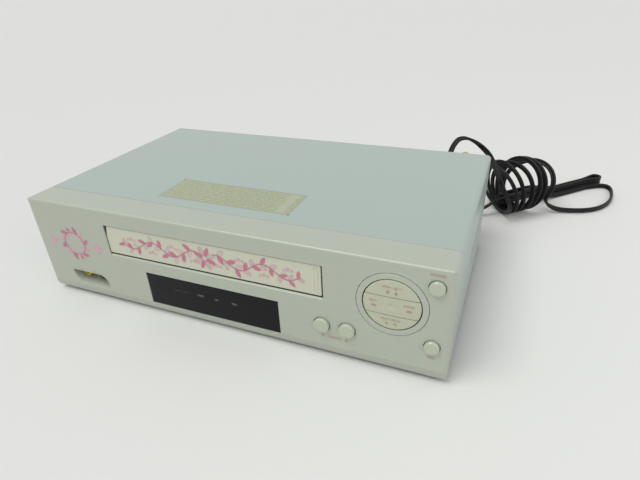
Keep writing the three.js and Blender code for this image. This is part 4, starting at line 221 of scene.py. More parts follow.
# Points by their distance back from the hank's tip, their side and their height, one row each
def hankPlace(rows):
    back, side, height = np.asarray(rows, float).T[:, :, None]
    return np.array([*hankKit["tip"], 0]) - back * alongWinding - side * acrossWinding + height * upward


# The folds: strands between the tip and the winding in two layers, joined by half turns.
# Each row is back, side, layer; height = low + lift + layer * layer height
def hankPath(kit):
    half, inner, step = kit["pitch"] / 2, kit["length"], kit["step"]
    tipFrom, tipTo, bulge = kit["tipFrom"], kit["tipTo"], kit["tipBulge"]

    def strand(start, end, side, layer):  # side and layer are numbers or functions of back
        count = int(np.ceil(abs(end - start) / step)) + 1
        back = start + (end - start) * np.linspace(0, 1, count)
        return np.stack([back, *(v(back) if callable(v) else v + 0 * back for v in (side, layer))], -1)

    def halfTurn(back, side, radius, layer, way, first):
        angle = pi * np.arange(1, kit["turnSteps"]) / kit["turnSteps"]
        onward = back + way * radius * np.sin(angle)
        return np.stack([onward, side + first * radius * np.cos(angle), layer + 0 * angle], -1)

    def bulged(sign):
        return lambda back: sign * (half + (bulge - half) * (1 - eased(back, tipFrom, tipTo)))

    def outer(side):
        spread = (kit["outerBulge"] - kit["pitch"]) * np.sign(side - half)
        return lambda back: side + spread * eased(back, inner - step, inner)

    def climb(back):
        return eased(back, inner - kit["climbFrom"] * step, inner - kit["climbTo"] * step)

    def roundTip(layer):
        turn = halfTurn(tipFrom, 0, bulge, layer, -1, -1)
        return [strand(tipTo, tipFrom, bulged(-1), layer)[1:], turn, strand(tipFrom, tipTo, bulged(1), layer)]

    rows = np.concatenate([
        strand(tipTo, inner, outer(3 * half), 0),
        halfTurn(inner, half, kit["outerBulge"], 0, 1, 1),
        strand(inner, tipTo, outer(-half), 0),
        *roundTip(0),
        strand(tipTo, inner, half, climb)[1:],
        halfTurn(inner, 0, half, 1, 1, 1),
        strand(inner, tipTo, -half, 1),
        *roundTip(1),
        strand(tipTo, inner - kit["lastShort"] * step, half, 1)[1:],
    ])
    lift = (kit["lifted"] - kit["low"]) * eased(rows[:, 0], kit["liftFrom"], kit["liftTo"])
    return hankPlace(np.stack([rows[:, 0], rows[:, 1], kit["low"] + lift + rows[:, 2] * kit["layer"]], -1))


# Directions between the known ones, mixed evenly from one to the next, with no sudden turn over
def turnedEvenly(wides, known):
    places = np.flatnonzero(known)
    signs = np.ones(len(places))
    signs[1:] = np.cumprod(np.sign((wides[places][1:] * wides[places][:-1]).sum(1)) + 0.0)
    fixed = wides[places] * np.where(signs == 0, 1, signs)[:, None]
    index = np.arange(len(wides))
    return unit(np.stack([np.interp(index, places, fixed[:, k]) for k in range(3)], -1))


# The whole cord's points, every step, and the direction of its wide side at each
def cordRoute(kit, winding, hank):
    first = pi + winding["enter"]
    last = 2 * pi * (winding["turns"] + 1) - winding["leave"]
    count = int(round((last - first) / (2 * pi) * winding["steps"])) + 1
    wound, woundWide = windingPath(winding, np.linspace(first, last, count))
    before = wound[0] - np.outer(np.array(kit["approach"]) * kit["wide"], unit(wound[1] - wound[0]))
    folds = hankPath(hank)
    loopEnd = hankPlace([(back, side, hank["low"]) for back, side in hank["loopEnd"]])
    loop = smoothWay(np.vstack([wound[-1], hank["loop"], loopEnd, folds[0]]), kit["coarse"])[1:-1]
    for _ in range(kit["rounds"]):  # each inner point goes halfway to its neighbours' middle
        loop[1:-1] = (loop[:-2] + 2 * loop[1:-1] + loop[2:]) / 4
    tail = smoothWay(np.vstack([folds[-1], hankPlace(hank["tailTurn"]), hank["tail"]]), kit["coarse"])[1:]
    places = np.vstack([kit["inside"], kit["lead"], before, wound, loop, folds, tail])

    start = 1 + len(kit["lead"]) + len(before)
    end = start + len(wound)
    wides = np.zeros(places.shape)
    wides[:kit["levelPoints"]] = (1, 0, 0)
    wides[start:end] = woundWide
    wides[end:] = -upward
    wides[-kit["plugPoints"]:] = (0, 1, 0)
    known = np.linalg.norm(wides, axis=1) > 0.5
    known[start:start + kit["freeIn"]] = False
    known[end:end + kit["freeOut"]] = False
    known[-kit["plugFree"]:-kit["plugPoints"]] = False
    path, wides = smoothWay(places, kit["step"], turnedEvenly(wides, known))
    return path * millimetre - (0, originShift, 0), wides


# Two round wires side by side: each is an arc of a circle, and they meet in a shallow groove
def flatTwin(kit):
    radius = kit["thick"] / 2
    away = kit["wide"] / 2 - radius
    reach = np.arccos(-(away / radius) * kit["meet"])
    angle = np.linspace(-reach, reach, kit["arcSteps"])
    right = np.stack([away + radius * np.cos(angle), radius * np.sin(angle)], -1)
    return np.vstack([right, -right]) * millimetre


cordPath, cordWides = cordRoute(cordKit, windingKit, hankKit)
mainsCord = meshObject("mains_cord", *sweep(cordPath, cordWides, flatTwin(cordKit)))
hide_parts("power_cord", "cord_coil")
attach(mainsCord, "body")


# A colour written as it looks on screen, 0 to 255, as a linear one
def tone(red, green, blue):
    share = np.array([red, green, blue]) / 255
    linear = np.where(share <= 0.04045, share / 12.92, ((share + 0.055) / 1.055) ** 2.4)
    return (*linear.tolist(), 1.0)


# A shader node with its settings and inputs; an input that is another node's output is linked
def addNode(tree, kind, inputs=None, **settings):
    node = tree.nodes.new(kind)
    for key, value in settings.items():
        setattr(node, key, value)
    for key, value in (inputs or {}).items():
        if isinstance(value, bpy.types.NodeSocket):
            tree.links.new(value, node.inputs[key])
        else:
            node.inputs[key].default_value = value
    return node


# The result of one step of arithmetic
def calculate(tree, operation, *values, clamp=False):
    node = addNode(tree, "ShaderNodeMath", dict(enumerate(values)), operation=operation, use_clamp=clamp)
    return node.outputs[0]


# The same on vectors
def onVectors(tree, operation, first, second):
    return addNode(tree, "ShaderNodeVectorMath", {0: first, 1: second}, operation=operation).outputs[0]


# The place on the piece, in metres
def objectPlace(tree):
    return addNode(tree, "ShaderNodeTexCoord").outputs["Object"]


# Noise of 0 to 1 at a place
def noise(tree, place, scale, detail=2.0, rough=0.5):
    inputs = {"Vector": place, "Scale": scale, "Detail": detail, "Roughness": rough}
    return addNode(tree, "ShaderNodeTexNoise", inputs).outputs["Fac"]


# An empty node group with named sockets: (name, kind, default)
def newGroup(name, inputs, outputs):
    group = bpy.data.node_groups.new(name, "ShaderNodeTree")
    for label, kind, default in inputs:
        socket = group.interface.new_socket(name=label, in_out="INPUT", socket_type=kind)
        if default is not None:
            socket.default_value = default
    for label, kind in outputs:
        group.interface.new_socket(name=label, in_out="OUTPUT", socket_type=kind)
    return group, addNode(group, "NodeGroupInput").outputs, addNode(group, "NodeGroupOutput").inputs


# A grey ramp over a value: black at start, white at end
def ramp(tree, source, start, end):
    node = addNode(tree, "ShaderNodeValToRGB", {"Fac": source})
    for element, place in zip(node.color_ramp.elements, (start, end)):
        element.position = place
    return node.outputs["Color"]


# Handling wear: the colour is shifted by broad blotches and fine grain, and hairline scratches roughen
# it. Colour = colour * (1 + blotch * broad noise + grain * fine noise). Broad is scale, detail, roughness
wearKit = {
    "broad": (14.0, 4.0, 0.6), "roughen": 0.3, "depth": 0.0004, "scratchTurn": (0.3, 0.2, 0.6),
    "scratchStretch": (12.0, 420.0, 160.0), "scratchRamp": (0.70, 0.74),
}


def buildWear(kit):
    number = "NodeSocketFloat"
    group, given, out = newGroup("handling wear", [
        ("Color", "NodeSocketColor", None), ("Blotch", number, 0.04), ("Grain", number, 0.03),
        ("Grain Size", number, 4000.0), ("Scratch", number, 0.2), ("Roughness", number, 0.4),
    ], [("Color", "NodeSocketColor"), ("Roughness", number), ("Height", number)])
    place = objectPlace(group)
    blotch = calculate(group, "SUBTRACT", noise(group, place, *kit["broad"]), 0.5)
    grain = calculate(group, "SUBTRACT", noise(group, place, given["Grain Size"]), 0.5)
    turned = {"Vector": place, "Rotation": kit["scratchTurn"], "Scale": kit["scratchStretch"]}
    stretched = addNode(group, "ShaderNodeMapping", turned).outputs["Vector"]
    lines = ramp(group, noise(group, stretched, 1.0, 1.0), *kit["scratchRamp"])
    scratch = calculate(group, "MULTIPLY", lines, given["Scratch"])
    total = calculate(group, "MULTIPLY_ADD", blotch, given["Blotch"], 1.0)
    total = calculate(group, "MULTIPLY_ADD", grain, given["Grain"], total)
    scaled = addNode(group, "ShaderNodeVectorMath", {0: given["Color"], "Scale": total}, operation="SCALE")
    rough = calculate(group, "MULTIPLY_ADD", blotch, kit["roughen"], given["Roughness"])
    rough = calculate(group, "ADD", rough, scratch, clamp=True)
    group.links.new(scaled.outputs["Vector"], out["Color"])
    group.links.new(rough, out["Roughness"])
    group.links.new(calculate(group, "SUBTRACT", grain, scratch), out["Height"])
    return group


# Box mask: 1 where the object coordinate, in metres, lies inside a box, else 0: the least distance
# inside any of its six sides is more than 0
def buildBoxMask():
    corner = "NodeSocketVector"
    inputs = [("Low", corner, None), ("High", corner, None)]
    group, given, out = newGroup("box mask", inputs, [("Mask", "NodeSocketFloat")])
    place = objectPlace(group)
    above = onVectors(group, "SUBTRACT", place, given["Low"])
    below = onVectors(group, "SUBTRACT", given["High"], place)
    least = onVectors(group, "MINIMUM", above, below)
    parts = addNode(group, "ShaderNodeSeparateXYZ", {0: least}).outputs
    least = calculate(group, "MINIMUM", calculate(group, "MINIMUM", parts[0], parts[1]), parts[2])
    group.links.new(calculate(group, "GREATER_THAN", least, 0.0), out["Mask"])
    return group


wearGroup = buildWear(wearKit)
boxMaskGroup = buildBoxMask()
far = 1.0  # a box side that is out of the way


# A mask of one box, given by its corners
def within(low, high):
    inputs = {"Low": low, "High": high}
    return lambda tree: addNode(tree, "ShaderNodeGroup", inputs, node_tree=boxMaskGroup).outputs["Mask"]


# A material of one base colour with wear; each layer is (mask, colour) laid over the colour before it
def finish(
    name, colour, roughness=0.4, metallic=0.0, blotch=0.05, grain=0.05, grainSize=3500.0, scratch=0.0,
    bump=0.02, coat=0.0, soften=0.0, layers=(), **sockets,
):
    material = bpy.data.materials.new(name)
    material.use_nodes = True
    tree = material.node_tree
    shader = tree.nodes["Principled BSDF"]
    wear = addNode(tree, "ShaderNodeGroup", {
        "Color": tone(*colour), "Blotch": blotch, "Grain": grain, "Grain Size": grainSize,
        "Scratch": scratch, "Roughness": roughness,
    }, node_tree=wearGroup)
    below = tone(*colour)
    for mask, over in layers:
        mixed = addNode(tree, "ShaderNodeMix", {0: mask(tree), 6: below, 7: tone(*over)}, data_type="RGBA")
        below = mixed.outputs[2]
    if layers:
        tree.links.new(below, wear.inputs["Color"])
    tree.links.new(wear.outputs["Color"], shader.inputs["Base Color"])
    tree.links.new(wear.outputs["Roughness"], shader.inputs["Roughness"])
    heights = {"Height": wear.outputs["Height"], "Strength": bump, "Distance": wearKit["depth"]}
    bumped = addNode(tree, "ShaderNodeBump", heights)
    if soften:
        edge = addNode(tree, "ShaderNodeBevel", {"Radius": soften}, samples=6)
        tree.links.new(edge.outputs["Normal"], bumped.inputs["Normal"])
    tree.links.new(bumped.outputs["Normal"], shader.inputs["Normal"])
    shader.inputs["Metallic"].default_value = metallic
    shader.inputs["Coat Weight"].default_value = coat
    for key, value in sockets.items():
        shader.inputs[key.replace("_", " ")].default_value = value
    return material


# Gives carried-over nodes or new pieces a material in every slot
def dress(material, *names):
    for name in names:
        slots = (nodes[name] if isinstance(name, str) else name).data.materials
        if not slots:
            slots.append(material)
        for k in range(len(slots)):
            slots[k] = material


# Behind the front's skin, but for the jack scoop, the bezel is coloured dark: painted shade in the gaps round
# the door, buttons and window, given as the bare plastic of a bezel painted outside only
bezelKit = {
    "paint": (180, 186, 172), "gapShade": (50, 52, 48),
    "low": (-0.1762, frontPlane + 0.0011, 0.0129), "high": (0.1762, 0.0, 0.0912),
    "scoopLow": (-0.1525, frontPlane - 0.001, 0.0130), "scoopHigh": (-0.1090, 0.0, 0.0302),
}
inside = within(bezelKit["low"], bezelKit["high"])
scoop = within(bezelKit["scoopLow"], bezelKit["scoopHigh"])
paintedGapShade = lambda tree: calculate(tree, "SUBTRACT", inside(tree), scoop(tree), clamp=True)

# Boards: copper tracks, what stands above the board's top, and the bright sink and can of the power board
boardKit = {
    "lacquer": (132, 112, 62), "copper": (150, 124, 66), "cells": 160.0, "trackRamp": (0.42, 0.46),
    "top": underside + 0.0096 + 0.00005, "sinkLow": (0.1030, -0.0035), "sinkHigh": (0.1500, 0.0820),
}
partsAbove = within((-far, -far, boardKit["top"]), (far, far, far))
sinkAndCan = within((*boardKit["sinkLow"], boardKit["top"]), (*boardKit["sinkHigh"], far))


# Conductor runs: bands of a square-cornered cell pattern
def copperTracks(tree):
    inputs = {"Vector": objectPlace(tree), "Scale": boardKit["cells"]}
    cells = addNode(tree, "ShaderNodeTexVoronoi", inputs, distance="CHEBYCHEV", feature="F1")
    return ramp(tree, cells.outputs["Distance"], *boardKit["trackRamp"])


# Jack blocks: how far the sockets stand out of them along Y, forwards in front and backwards behind
jackKit = {
    "reach": 0.0095, "rearReach": -0.0090, "margin": 0.001,
    "yellow": (190, 164, 44), "rearYellow": (188, 152, 40), "rearWhite": (206, 205, 194),
}


# The left (-1) or the right half of a row of sockets, and only what stands out of their block
def half(node, side, reach):
    low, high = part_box(node)
    middle, margin = (low.x + high.x) / 2, jackKit["margin"]
    front, back = (low.y - margin, low.y + reach) if reach > 0 else (high.y + reach, high.y + margin)
    left, right = (-far, middle) if side < 0 else (middle, far)
    return within((left, front, -far), (right, back, far))


# Finishes of the nodes: colour as seen, roughness, metal share, then the wear
# The bezel's dark layer is painted shade in the gaps round its door, buttons and window
dress(finish(
    "bezel silver paint", bezelKit["paint"], 0.42, 0.12, grain=0.10, grainSize=5200.0, bump=0.03,
    coat=0.15, soften=0.0006, layers=[(paintedGapShade, bezelKit["gapShade"])],
), "front_bezel")
dress(finish(
    "cover silver paint", (170, 184, 177), 0.40, 0.15, blotch=0.06, grain=0.10, grainSize=5200.0,
    scratch=0.12, bump=0.03, coat=0.15, soften=0.0005,
), "top_cover")
dress(finish(
    "door cream plastic", (202, 204, 184), 0.32, blotch=0.04, grain=0.02, bump=0.01, coat=0.3, soften=0.0004,
), "cassette_door")
dress(finish(
    "button silver plastic", (185, 192, 173), 0.34, 0.12, blotch=0.04, grain=0.06, coat=0.3, soften=0.0004,
), "power_button", "record_button", "channel_down_button", "channel_up_button")
dress(finish(
    "pad silver plastic", (188, 192, 168), 0.36, 0.10, blotch=0.04, grain=0.06, coat=0.25, soften=0.0004,
), "stop_eject_button", "play_button", "wind_rocker")
ringPaint = finish(
    "pad ring paint", (180, 187, 174), 0.36, 0.15, blotch=0.04, grain=0.08, grainSize=5200.0, coat=0.2,
)
dress(finish(
    "smoked window", (9, 9, 12), 0.16, blotch=0.08, grain=0.02, bump=0.004, Specular_IOR_Level=0.22,
), "display_window")
dress(finish("display tube", (30, 33, 34), 0.2, blotch=0.1, coat=0.4), "display_module")
dress(finish(
    "black plastic", (22, 22, 23), 0.5, blotch=0.08, grain=0.1, grainSize=2600.0, bump=0.06,
), "cord_bushing", "power_plug")
dress(finish(
    "black rubber", (27, 27, 28), 0.75, blotch=0.12, grain=0.15, grainSize=2200.0, bump=0.1,
), "foot_front_left", "foot_front_right", "foot_rear_left", "foot_rear_right", "pinch_roller", "drive_belt",
    "idler_wheel")
dress(finish(
    "white nylon", (216, 217, 208), 0.5, blotch=0.04, grain=0.03, Subsurface_Weight=0.05,
), "supply_reel_table", "takeup_reel_table", "clutch_pulley", "cam_gear", "motor_pinion", "rack_gear")
dress(finish(
    "zinc steel", (150, 156, 154), 0.38, 0.85, blotch=0.14, grain=0.12, grainSize=900.0, scratch=0.1,
    bump=0.03, soften=0.0003,
), "bottom_chassis", "rear_panel", "cassette_holder", "idler_arm", "pinch_arm", "tension_arm")
brightMetal = finish("bright metal", (205, 207, 206), 0.2, 1.0, grainSize=1500.0, scratch=0.1, bump=0.01)
dress(brightMetal, "upper_drum", "drum_rotor", "capstan_flywheel")
dress(finish(
    "cast metal", (152, 154, 153), 0.48, 0.85, blotch=0.1, grain=0.14, grainSize=1600.0, bump=0.06,
), "lower_drum", "erase_head", "sound_head")
gilt = finish("gilt sockets", (200, 176, 104), 0.28, 1.0, blotch=0.08)
dress(gilt, "aerial_out_socket", "aerial_in_socket")
dress(finish(
    "galvanised sheet", (172, 178, 177), 0.42, 0.8, blotch=0.2, grain=0.1, grainSize=400.0, scratch=0.08,
    soften=0.0003,
), "cassette_housing", "slide_left", "slide_right", "tuner")
dress(finish(
    "deck steel", (132, 138, 137), 0.4, 0.85, blotch=0.12, grain=0.14, grainSize=1200.0, scratch=0.08,
    bump=0.03, soften=0.0003,
), "deck_plate")
guideMetal = finish("guide metal", (176, 178, 178), 0.3, 0.9, blotch=0.08, grain=0.06)
dress(guideMetal, "supply_guide", "takeup_guide")
dress(finish("spring wire", (170, 172, 170), 0.25, 1.0), "door_spring")
motorCase = finish("motor case", (138, 142, 142), 0.35, 0.9, blotch=0.08, grain=0.08)
dress(motorCase, "loading_motor", "capstan_motor")
dress(finish(
    "transformer steel", (96, 98, 100), 0.55, 0.6, blotch=0.15, grain=0.2, grainSize=1200.0, bump=0.08,
), "power_transformer")
dress(finish(
    "cord rubber", (8, 8, 9), 0.46, blotch=0.2, grain=0.12, grainSize=2500.0, bump=0.04,
    Specular_IOR_Level=0.3,
), mainsCord)
tracks = (copperTracks, boardKit["copper"])
dress(finish(
    "board lacquer", boardKit["lacquer"], 0.5, blotch=0.1, grain=0.1, bump=0.03, coat=0.3,
    layers=[tracks, (partsAbove, (44, 45, 48))],
), "main_board", "front_board")
dress(finish(
    "power board", boardKit["lacquer"], 0.45, blotch=0.1, grain=0.1, bump=0.03, coat=0.3,
    layers=[tracks, (partsAbove, (40, 42, 52)), (sinkAndCan, (148, 152, 154))],
), "power_board")
frontYellow = (half("front_jack_block", -1, jackKit["reach"]), jackKit["yellow"])
rearYellow = (half("rear_jack_block", -1, jackKit["rearReach"]), jackKit["rearYellow"])
rearWhite = (half("rear_jack_block", 1, jackKit["rearReach"]), jackKit["rearWhite"])
# The right-hand audio socket keeps the block's dark colour in place of white: painted shade
dress(finish("front jacks and painted shade", (46, 48, 42), 0.35, layers=[frontYellow]), "front_jack_block")
dress(finish("rear jacks", (36, 36, 38), layers=[rearYellow, rearWhite]), "rear_jack_block")
print("nodes dressed")

# Ring round the transport pad, pressed into the bezel's dish: a low crown with a groove outside it
padKit = {
    "x": 0.1405, "z": underside + 0.0563, "radius": 0.0197, "stand": 0.0009, "ringIn": 0.0203,
    "ringOut": 0.02435, "dish": 0.0016, "dishIn": 0.02015, "dishOut": 0.0248, "groove": 0.0006,
    "rise": 0.00048, "shoulder": 0.75, "edge": 0.0006, "sunk": 0.00002, "steps": 128, "edgeSteps": 7,
    "crownSteps": 9,
}


# Points by radius and angle about an axis along Y through (x, z), each at its own depth
def aboutAxis(x, z, radius, angle, depth):
    return np.stack([x + radius * np.cos(angle), depth + 0 * angle, z + radius * np.sin(angle)], -1)


# A closed mesh's faces, turned outwards where the volume that they enclose comes out negative
def outwards(points, faces):
    points = np.asarray(points).reshape(-1, 3)
    volume = 0
    for count in {len(face) for face in faces}:
        corners = points[np.array([face for face in faces if len(face) == count])]
        for k in range(1, count - 1):
            volume += (corners[:, 0] * np.cross(corners[:, k], corners[:, k + 1])).sum()
    return faces if volume > 0 else [face[::-1] for face in faces]


# Profile: up the outer side, over a quarter-round edge, across a crown of rise * (shoulder + sine) and
# down the inner side to the dish, whose floor falls evenly inwards
def makePadRing(kit):
    ringIn, ringOut, rise = kit["ringIn"], kit["ringOut"], kit["rise"]
    edge, shoulder = kit["edge"], kit["shoulder"]

    def floorAt(radius):
        share = (radius - kit["dishIn"]) / (kit["dishOut"] - kit["dishIn"])
        return kit["dish"] + (kit["groove"] - kit["dish"]) * share - kit["sunk"]

    turn = np.linspace(0, pi / 2, kit["edgeSteps"])
    across = np.linspace(0.1, 0.9, kit["crownSteps"])
    start, end = ringOut - edge, ringIn + edge / 2
    radius = np.concatenate([
        [ringOut], ringOut - edge * (1 - np.cos(turn)), start + (end - start) * across,
        end - edge / 2 * np.sin(turn), [ringIn],
    ])
    depth = np.concatenate([
        [floorAt(ringOut)], -rise * shoulder * np.sin(turn),
        -rise * (shoulder + (1 - shoulder) * np.sin(pi * across / 2)),
        -rise * np.cos(turn), [floorAt(ringIn)],
    ])
    angle = roundAngles(kit["steps"])[:, None]
    points = aboutAxis(kit["x"], kit["z"], radius, angle, frontPlane + depth)
    faces = gridFaces(len(angle), len(radius), closedColumns=True, closedRows=True)
    ring = meshObject("pad_ring", points, outwards(points, faces))
    dress(ringPaint, ring)
    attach(ring, "body")


makePadRing(padKit)

# Stamped screws of the rear panel, each turned its own way
screwKit = {
    "radius": 0.0030, "rise": 0.0016, "slot": 0.00048, "slotSides": (0.7, 1.3), "slotReach": 0.0019,
    "slotEnd": 0.85, "slotDepth": 0.0011, "deepest": 0.9, "rings": 20, "steps": 64, "turns": 0.7,
    "places": [(-0.166, 0.084), (-0.060, 0.0855), (0.060, 0.0855), (-0.100, 0.0115), (0.100, 0.0115)],
}


# A pan head: height = rise * (1 - (r / radius) ^ 3), less a cross-shaped recess that fades with r
def makeScrews(kit):
    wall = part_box("rear_panel")[1].y
    rings, steps, reach = kit["rings"], kit["steps"], kit["slotReach"]
    angle = roundAngles(steps)[None, :]
    radius = kit["radius"] * np.linspace(1, 1 / rings, rings)[:, None]
    slotStart, slotStop = [kit["slot"] * share for share in kit["slotSides"]]
    points, faces = [], []
    for k, (x, z) in enumerate(kit["places"]):
        turned = angle + kit["turns"] * k
        thin = radius * np.minimum(abs(np.cos(turned)), abs(np.sin(turned)))
        fade = 1 - eased(radius, reach * kit["slotEnd"], reach)
        recess = kit["slotDepth"] * (1 - eased(thin, slotStart, slotStop)) * fade
        recess = np.minimum(recess, kit["rise"] * kit["deepest"]) * (radius < reach)
        height = kit["rise"] * (1 - (radius / kit["radius"]) ** 3) - recess
        head = aboutAxis(x, z, radius, angle, wall + height)
        first = len(points)
        tip = first + rings * steps
        last = tip - steps
        points += head.reshape(-1, 3).tolist() + [[x, wall + kit["rise"] - kit["slotDepth"], z]]
        faces += gridFaces(rings, steps, closedColumns=True, first=first)
        faces += [[last + j, last + (j + 1) % steps, tip] for j in range(steps)]
        faces.append([first + j for j in range(steps)][::-1])
    screws = meshObject("rear_screws", points, outwards(points, faces))
    dress(brightMetal, screws)
    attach(screws, "body")


makeScrews(screwKit)
print("ring and screws made")

# Foil label on the cover: worn rows of a plain pattern inside a grey border, with no words
labelKit = {
    "x": (-0.0702, 0.0504), "y": (-0.08045, -0.04275), "thick": 0.00012, "border": 0.0016, "rows": (24, 72),
    "foil": (162, 169, 141), "edge": (164, 172, 157), "band": (0.0375, 0.0445), "bandTone": (182, 188, 160),
    "streak": (194, 198, 162), "rowPitch": 0.0034, "rowShare": 0.10, "stretch": (380.0, 900.0, 1.0),
    "streakRamp": (0.48, 0.66),
}


# Streaks: noise stretched along X, kept where a wave across the label is high
def foilRows(tree):
    place = objectPlace(tree)
    parts = addNode(tree, "ShaderNodeSeparateXYZ", {0: place}).outputs
    wave = calculate(tree, "SINE", calculate(tree, "MULTIPLY", parts[1], 2 * pi / labelKit["rowPitch"]))
    stretched = addNode(tree, "ShaderNodeMapping", {"Vector": place, "Scale": labelKit["stretch"]})
    blots = noise(tree, stretched.outputs["Vector"], 1.0, 3.0, 0.7)
    value = calculate(tree, "MULTIPLY_ADD", wave, labelKit["rowShare"], blots)
    return ramp(tree, value, *labelKit["streakRamp"])


# Thin sheet: height = cover top + thickness inside, and the cover's top at its edge
def makeLabel(kit):
    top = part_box("top_cover")[1].z
    rows, columns = kit["rows"]
    (left, right), (front, back), border = kit["x"], kit["y"], kit["border"]
    y, x = np.meshgrid(np.linspace(front, back, rows), np.linspace(left, right, columns), indexing="ij")
    height = np.full(x.shape, top + kit["thick"])
    height[[0, -1]] = top
    height[:, [0, -1]] = top
    label = meshObject("cover_label", np.stack([x, y, height], -1), gridFaces(rows, columns), smooth=False)
    inner = within((left + border, front + border, -far), (right - border, back - border, far))
    band = within((kit["band"][0], front + border, -far), (kit["band"][1], back - border, far))
    rowsInside = lambda tree: calculate(tree, "MULTIPLY", foilRows(tree), inner(tree))
    dress(finish(
        "label foil", kit["edge"], 0.34, 0.45, blotch=0.12, grain=0.1, grainSize=1500.0, scratch=0.1,
        layers=[(inner, kit["foil"]), (rowsInside, kit["streak"]), (band, kit["bandTone"])],
    ), label)
    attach(label, "body")


makeLabel(labelKit)
print("label made")

# Prints: flat shapes just proud of the paint, each a hair over the one before it
printKit = {"proud": 0.00005, "step": 0.000002, "over": 0.0002}
rosePrint = finish("rose print", (200, 118, 144), 0.45, blotch=0.1, grain=0.06)
palePrint = finish("pale rose print", (212, 164, 178), 0.45, blotch=0.1, grain=0.06)
captionPrint = finish("caption print", (186, 138, 138), 0.5, blotch=0.1, grain=0.06)
# Door lines: a darker tone, painted shade of the door's moulded lines
doorLineShade = finish("door line shade", (172, 174, 150))
displayMark = finish("display mark", (146, 134, 142), 0.5)
dimMark = finish("dim display mark", (74, 66, 72), 0.5)
# Dark print for the rear words, and the painted shadow over the door's hinge
darkPrintAndShadow = finish("dark print and painted shadow", (34, 36, 36), 0.5)


# A print from outlines, each an array of (x, z). Its plane is a number or a function of x and z, and
# way is -1 in front, 1 behind
def printOn(name, outlines, plane, material, body, way=-1, over=0.0):
    points, faces, lift = [], [], []
    for k, outline in enumerate(outlines):
        outline = np.asarray(outline, float)
        onward = np.roll(outline, -1, axis=0)
        area = (outline[:, 0] * onward[:, 1] - onward[:, 0] * outline[:, 1]).sum()
        outline = outline[::-1] if area * way > 0 else outline
        faces.append(list(range(len(points), len(points) + len(outline))))
        points.extend(outline.tolist())
        lift += [printKit["proud"] + over + k * printKit["step"]] * len(outline)
    x, z = np.array(points).T
    depth = (plane(x, z) if callable(plane) else np.full(x.shape, plane)) + way * np.array(lift)
    piece = meshObject(name, np.stack([x, depth, z], -1), faces, smooth=False)
    dress(material, piece)
    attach(piece, body)


# Outline points given as onward and sideways from a place, turned by an angle
def turnedFrom(place, angle, onward, side=0.0):
    across = place[0] + onward * np.cos(angle) - side * np.sin(angle)
    return np.stack([across, place[1] + onward * np.sin(angle) + side * np.cos(angle)], -1)


# A pointed leaf: half width = width / 2 * sin(pi * t) ^ 0.8 along its length
def leafOutline(place, angle, length, width, steps=12):
    t = np.linspace(0, 1, steps)
    side = width / 2 * np.sin(pi * t) ** 0.8
    onward = np.concatenate([t, t[-2:0:-1]]) * length
    return turnedFrom(place, angle, onward, np.concatenate([side, -side[-2:0:-1]]))


# A small round: place + radius * (cos, sin)
def dotOutline(place, radius, steps=16):
    return turnedFrom(place, roundAngles(steps), radius)


# A line of even width: the line pushed to both sides by half the width
def bandOutline(line, width):
    line = np.asarray(line, float)
    way = unit(np.gradient(line, axis=0))
    side = np.stack([-way[:, 1], way[:, 0]], -1) * width / 2
    return np.vstack([line + side, (line - side)[::-1]])


# The rim of a leaf as two bands, with a thinner vein from 0.15 to 0.75 of its length
def openLeaf(place, angle, length, width, line):
    rim = leafOutline(place, angle, length, width)
    middle = len(rim) // 2
    tip = turnedFrom(place, angle, length)
    vein = np.array(place) + (tip - place) * np.array([0.15, 0.75])[:, None]
    halves = (rim[:middle + 1], np.vstack([rim[middle:], rim[:1]]))
    return [bandOutline(edge, line) for edge in halves] + [bandOutline(vein, line * 0.8)]


# Door: a leafy stem in even waves from a flower in the middle to both ends, with filled and open leaves
# by turns, and berries in its bends. A cluster is (along, up, size) for each berry
vineKit = {
    "x": -0.0035, "z": 0.0676, "reach": 0.0790, "start": 0.0075, "waves": 4, "swing": 0.0046,
    "stem": 0.00075, "steps": 100, "leaf": 0.0086, "leafWidth": 0.0037, "leafAt": (6, 98, 10),
    "lean": 0.8, "openLean": 1.2, "openSize": 0.85, "taper": 0.25, "line": 0.00055, "berry": 0.0015,
    "cluster": [(0, 0, 1), (0.0034, -0.0008, 0.75), (-0.0030, -0.0012, 0.6)], "clusterDrop": 0.95,
    "petals": 8, "petal": 0.0088, "petalWidth": 0.9, "petalFoot": 0.0016,
}
doorBody = nodes["cassette_door"]["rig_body"]
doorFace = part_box("cassette_door")[0].y


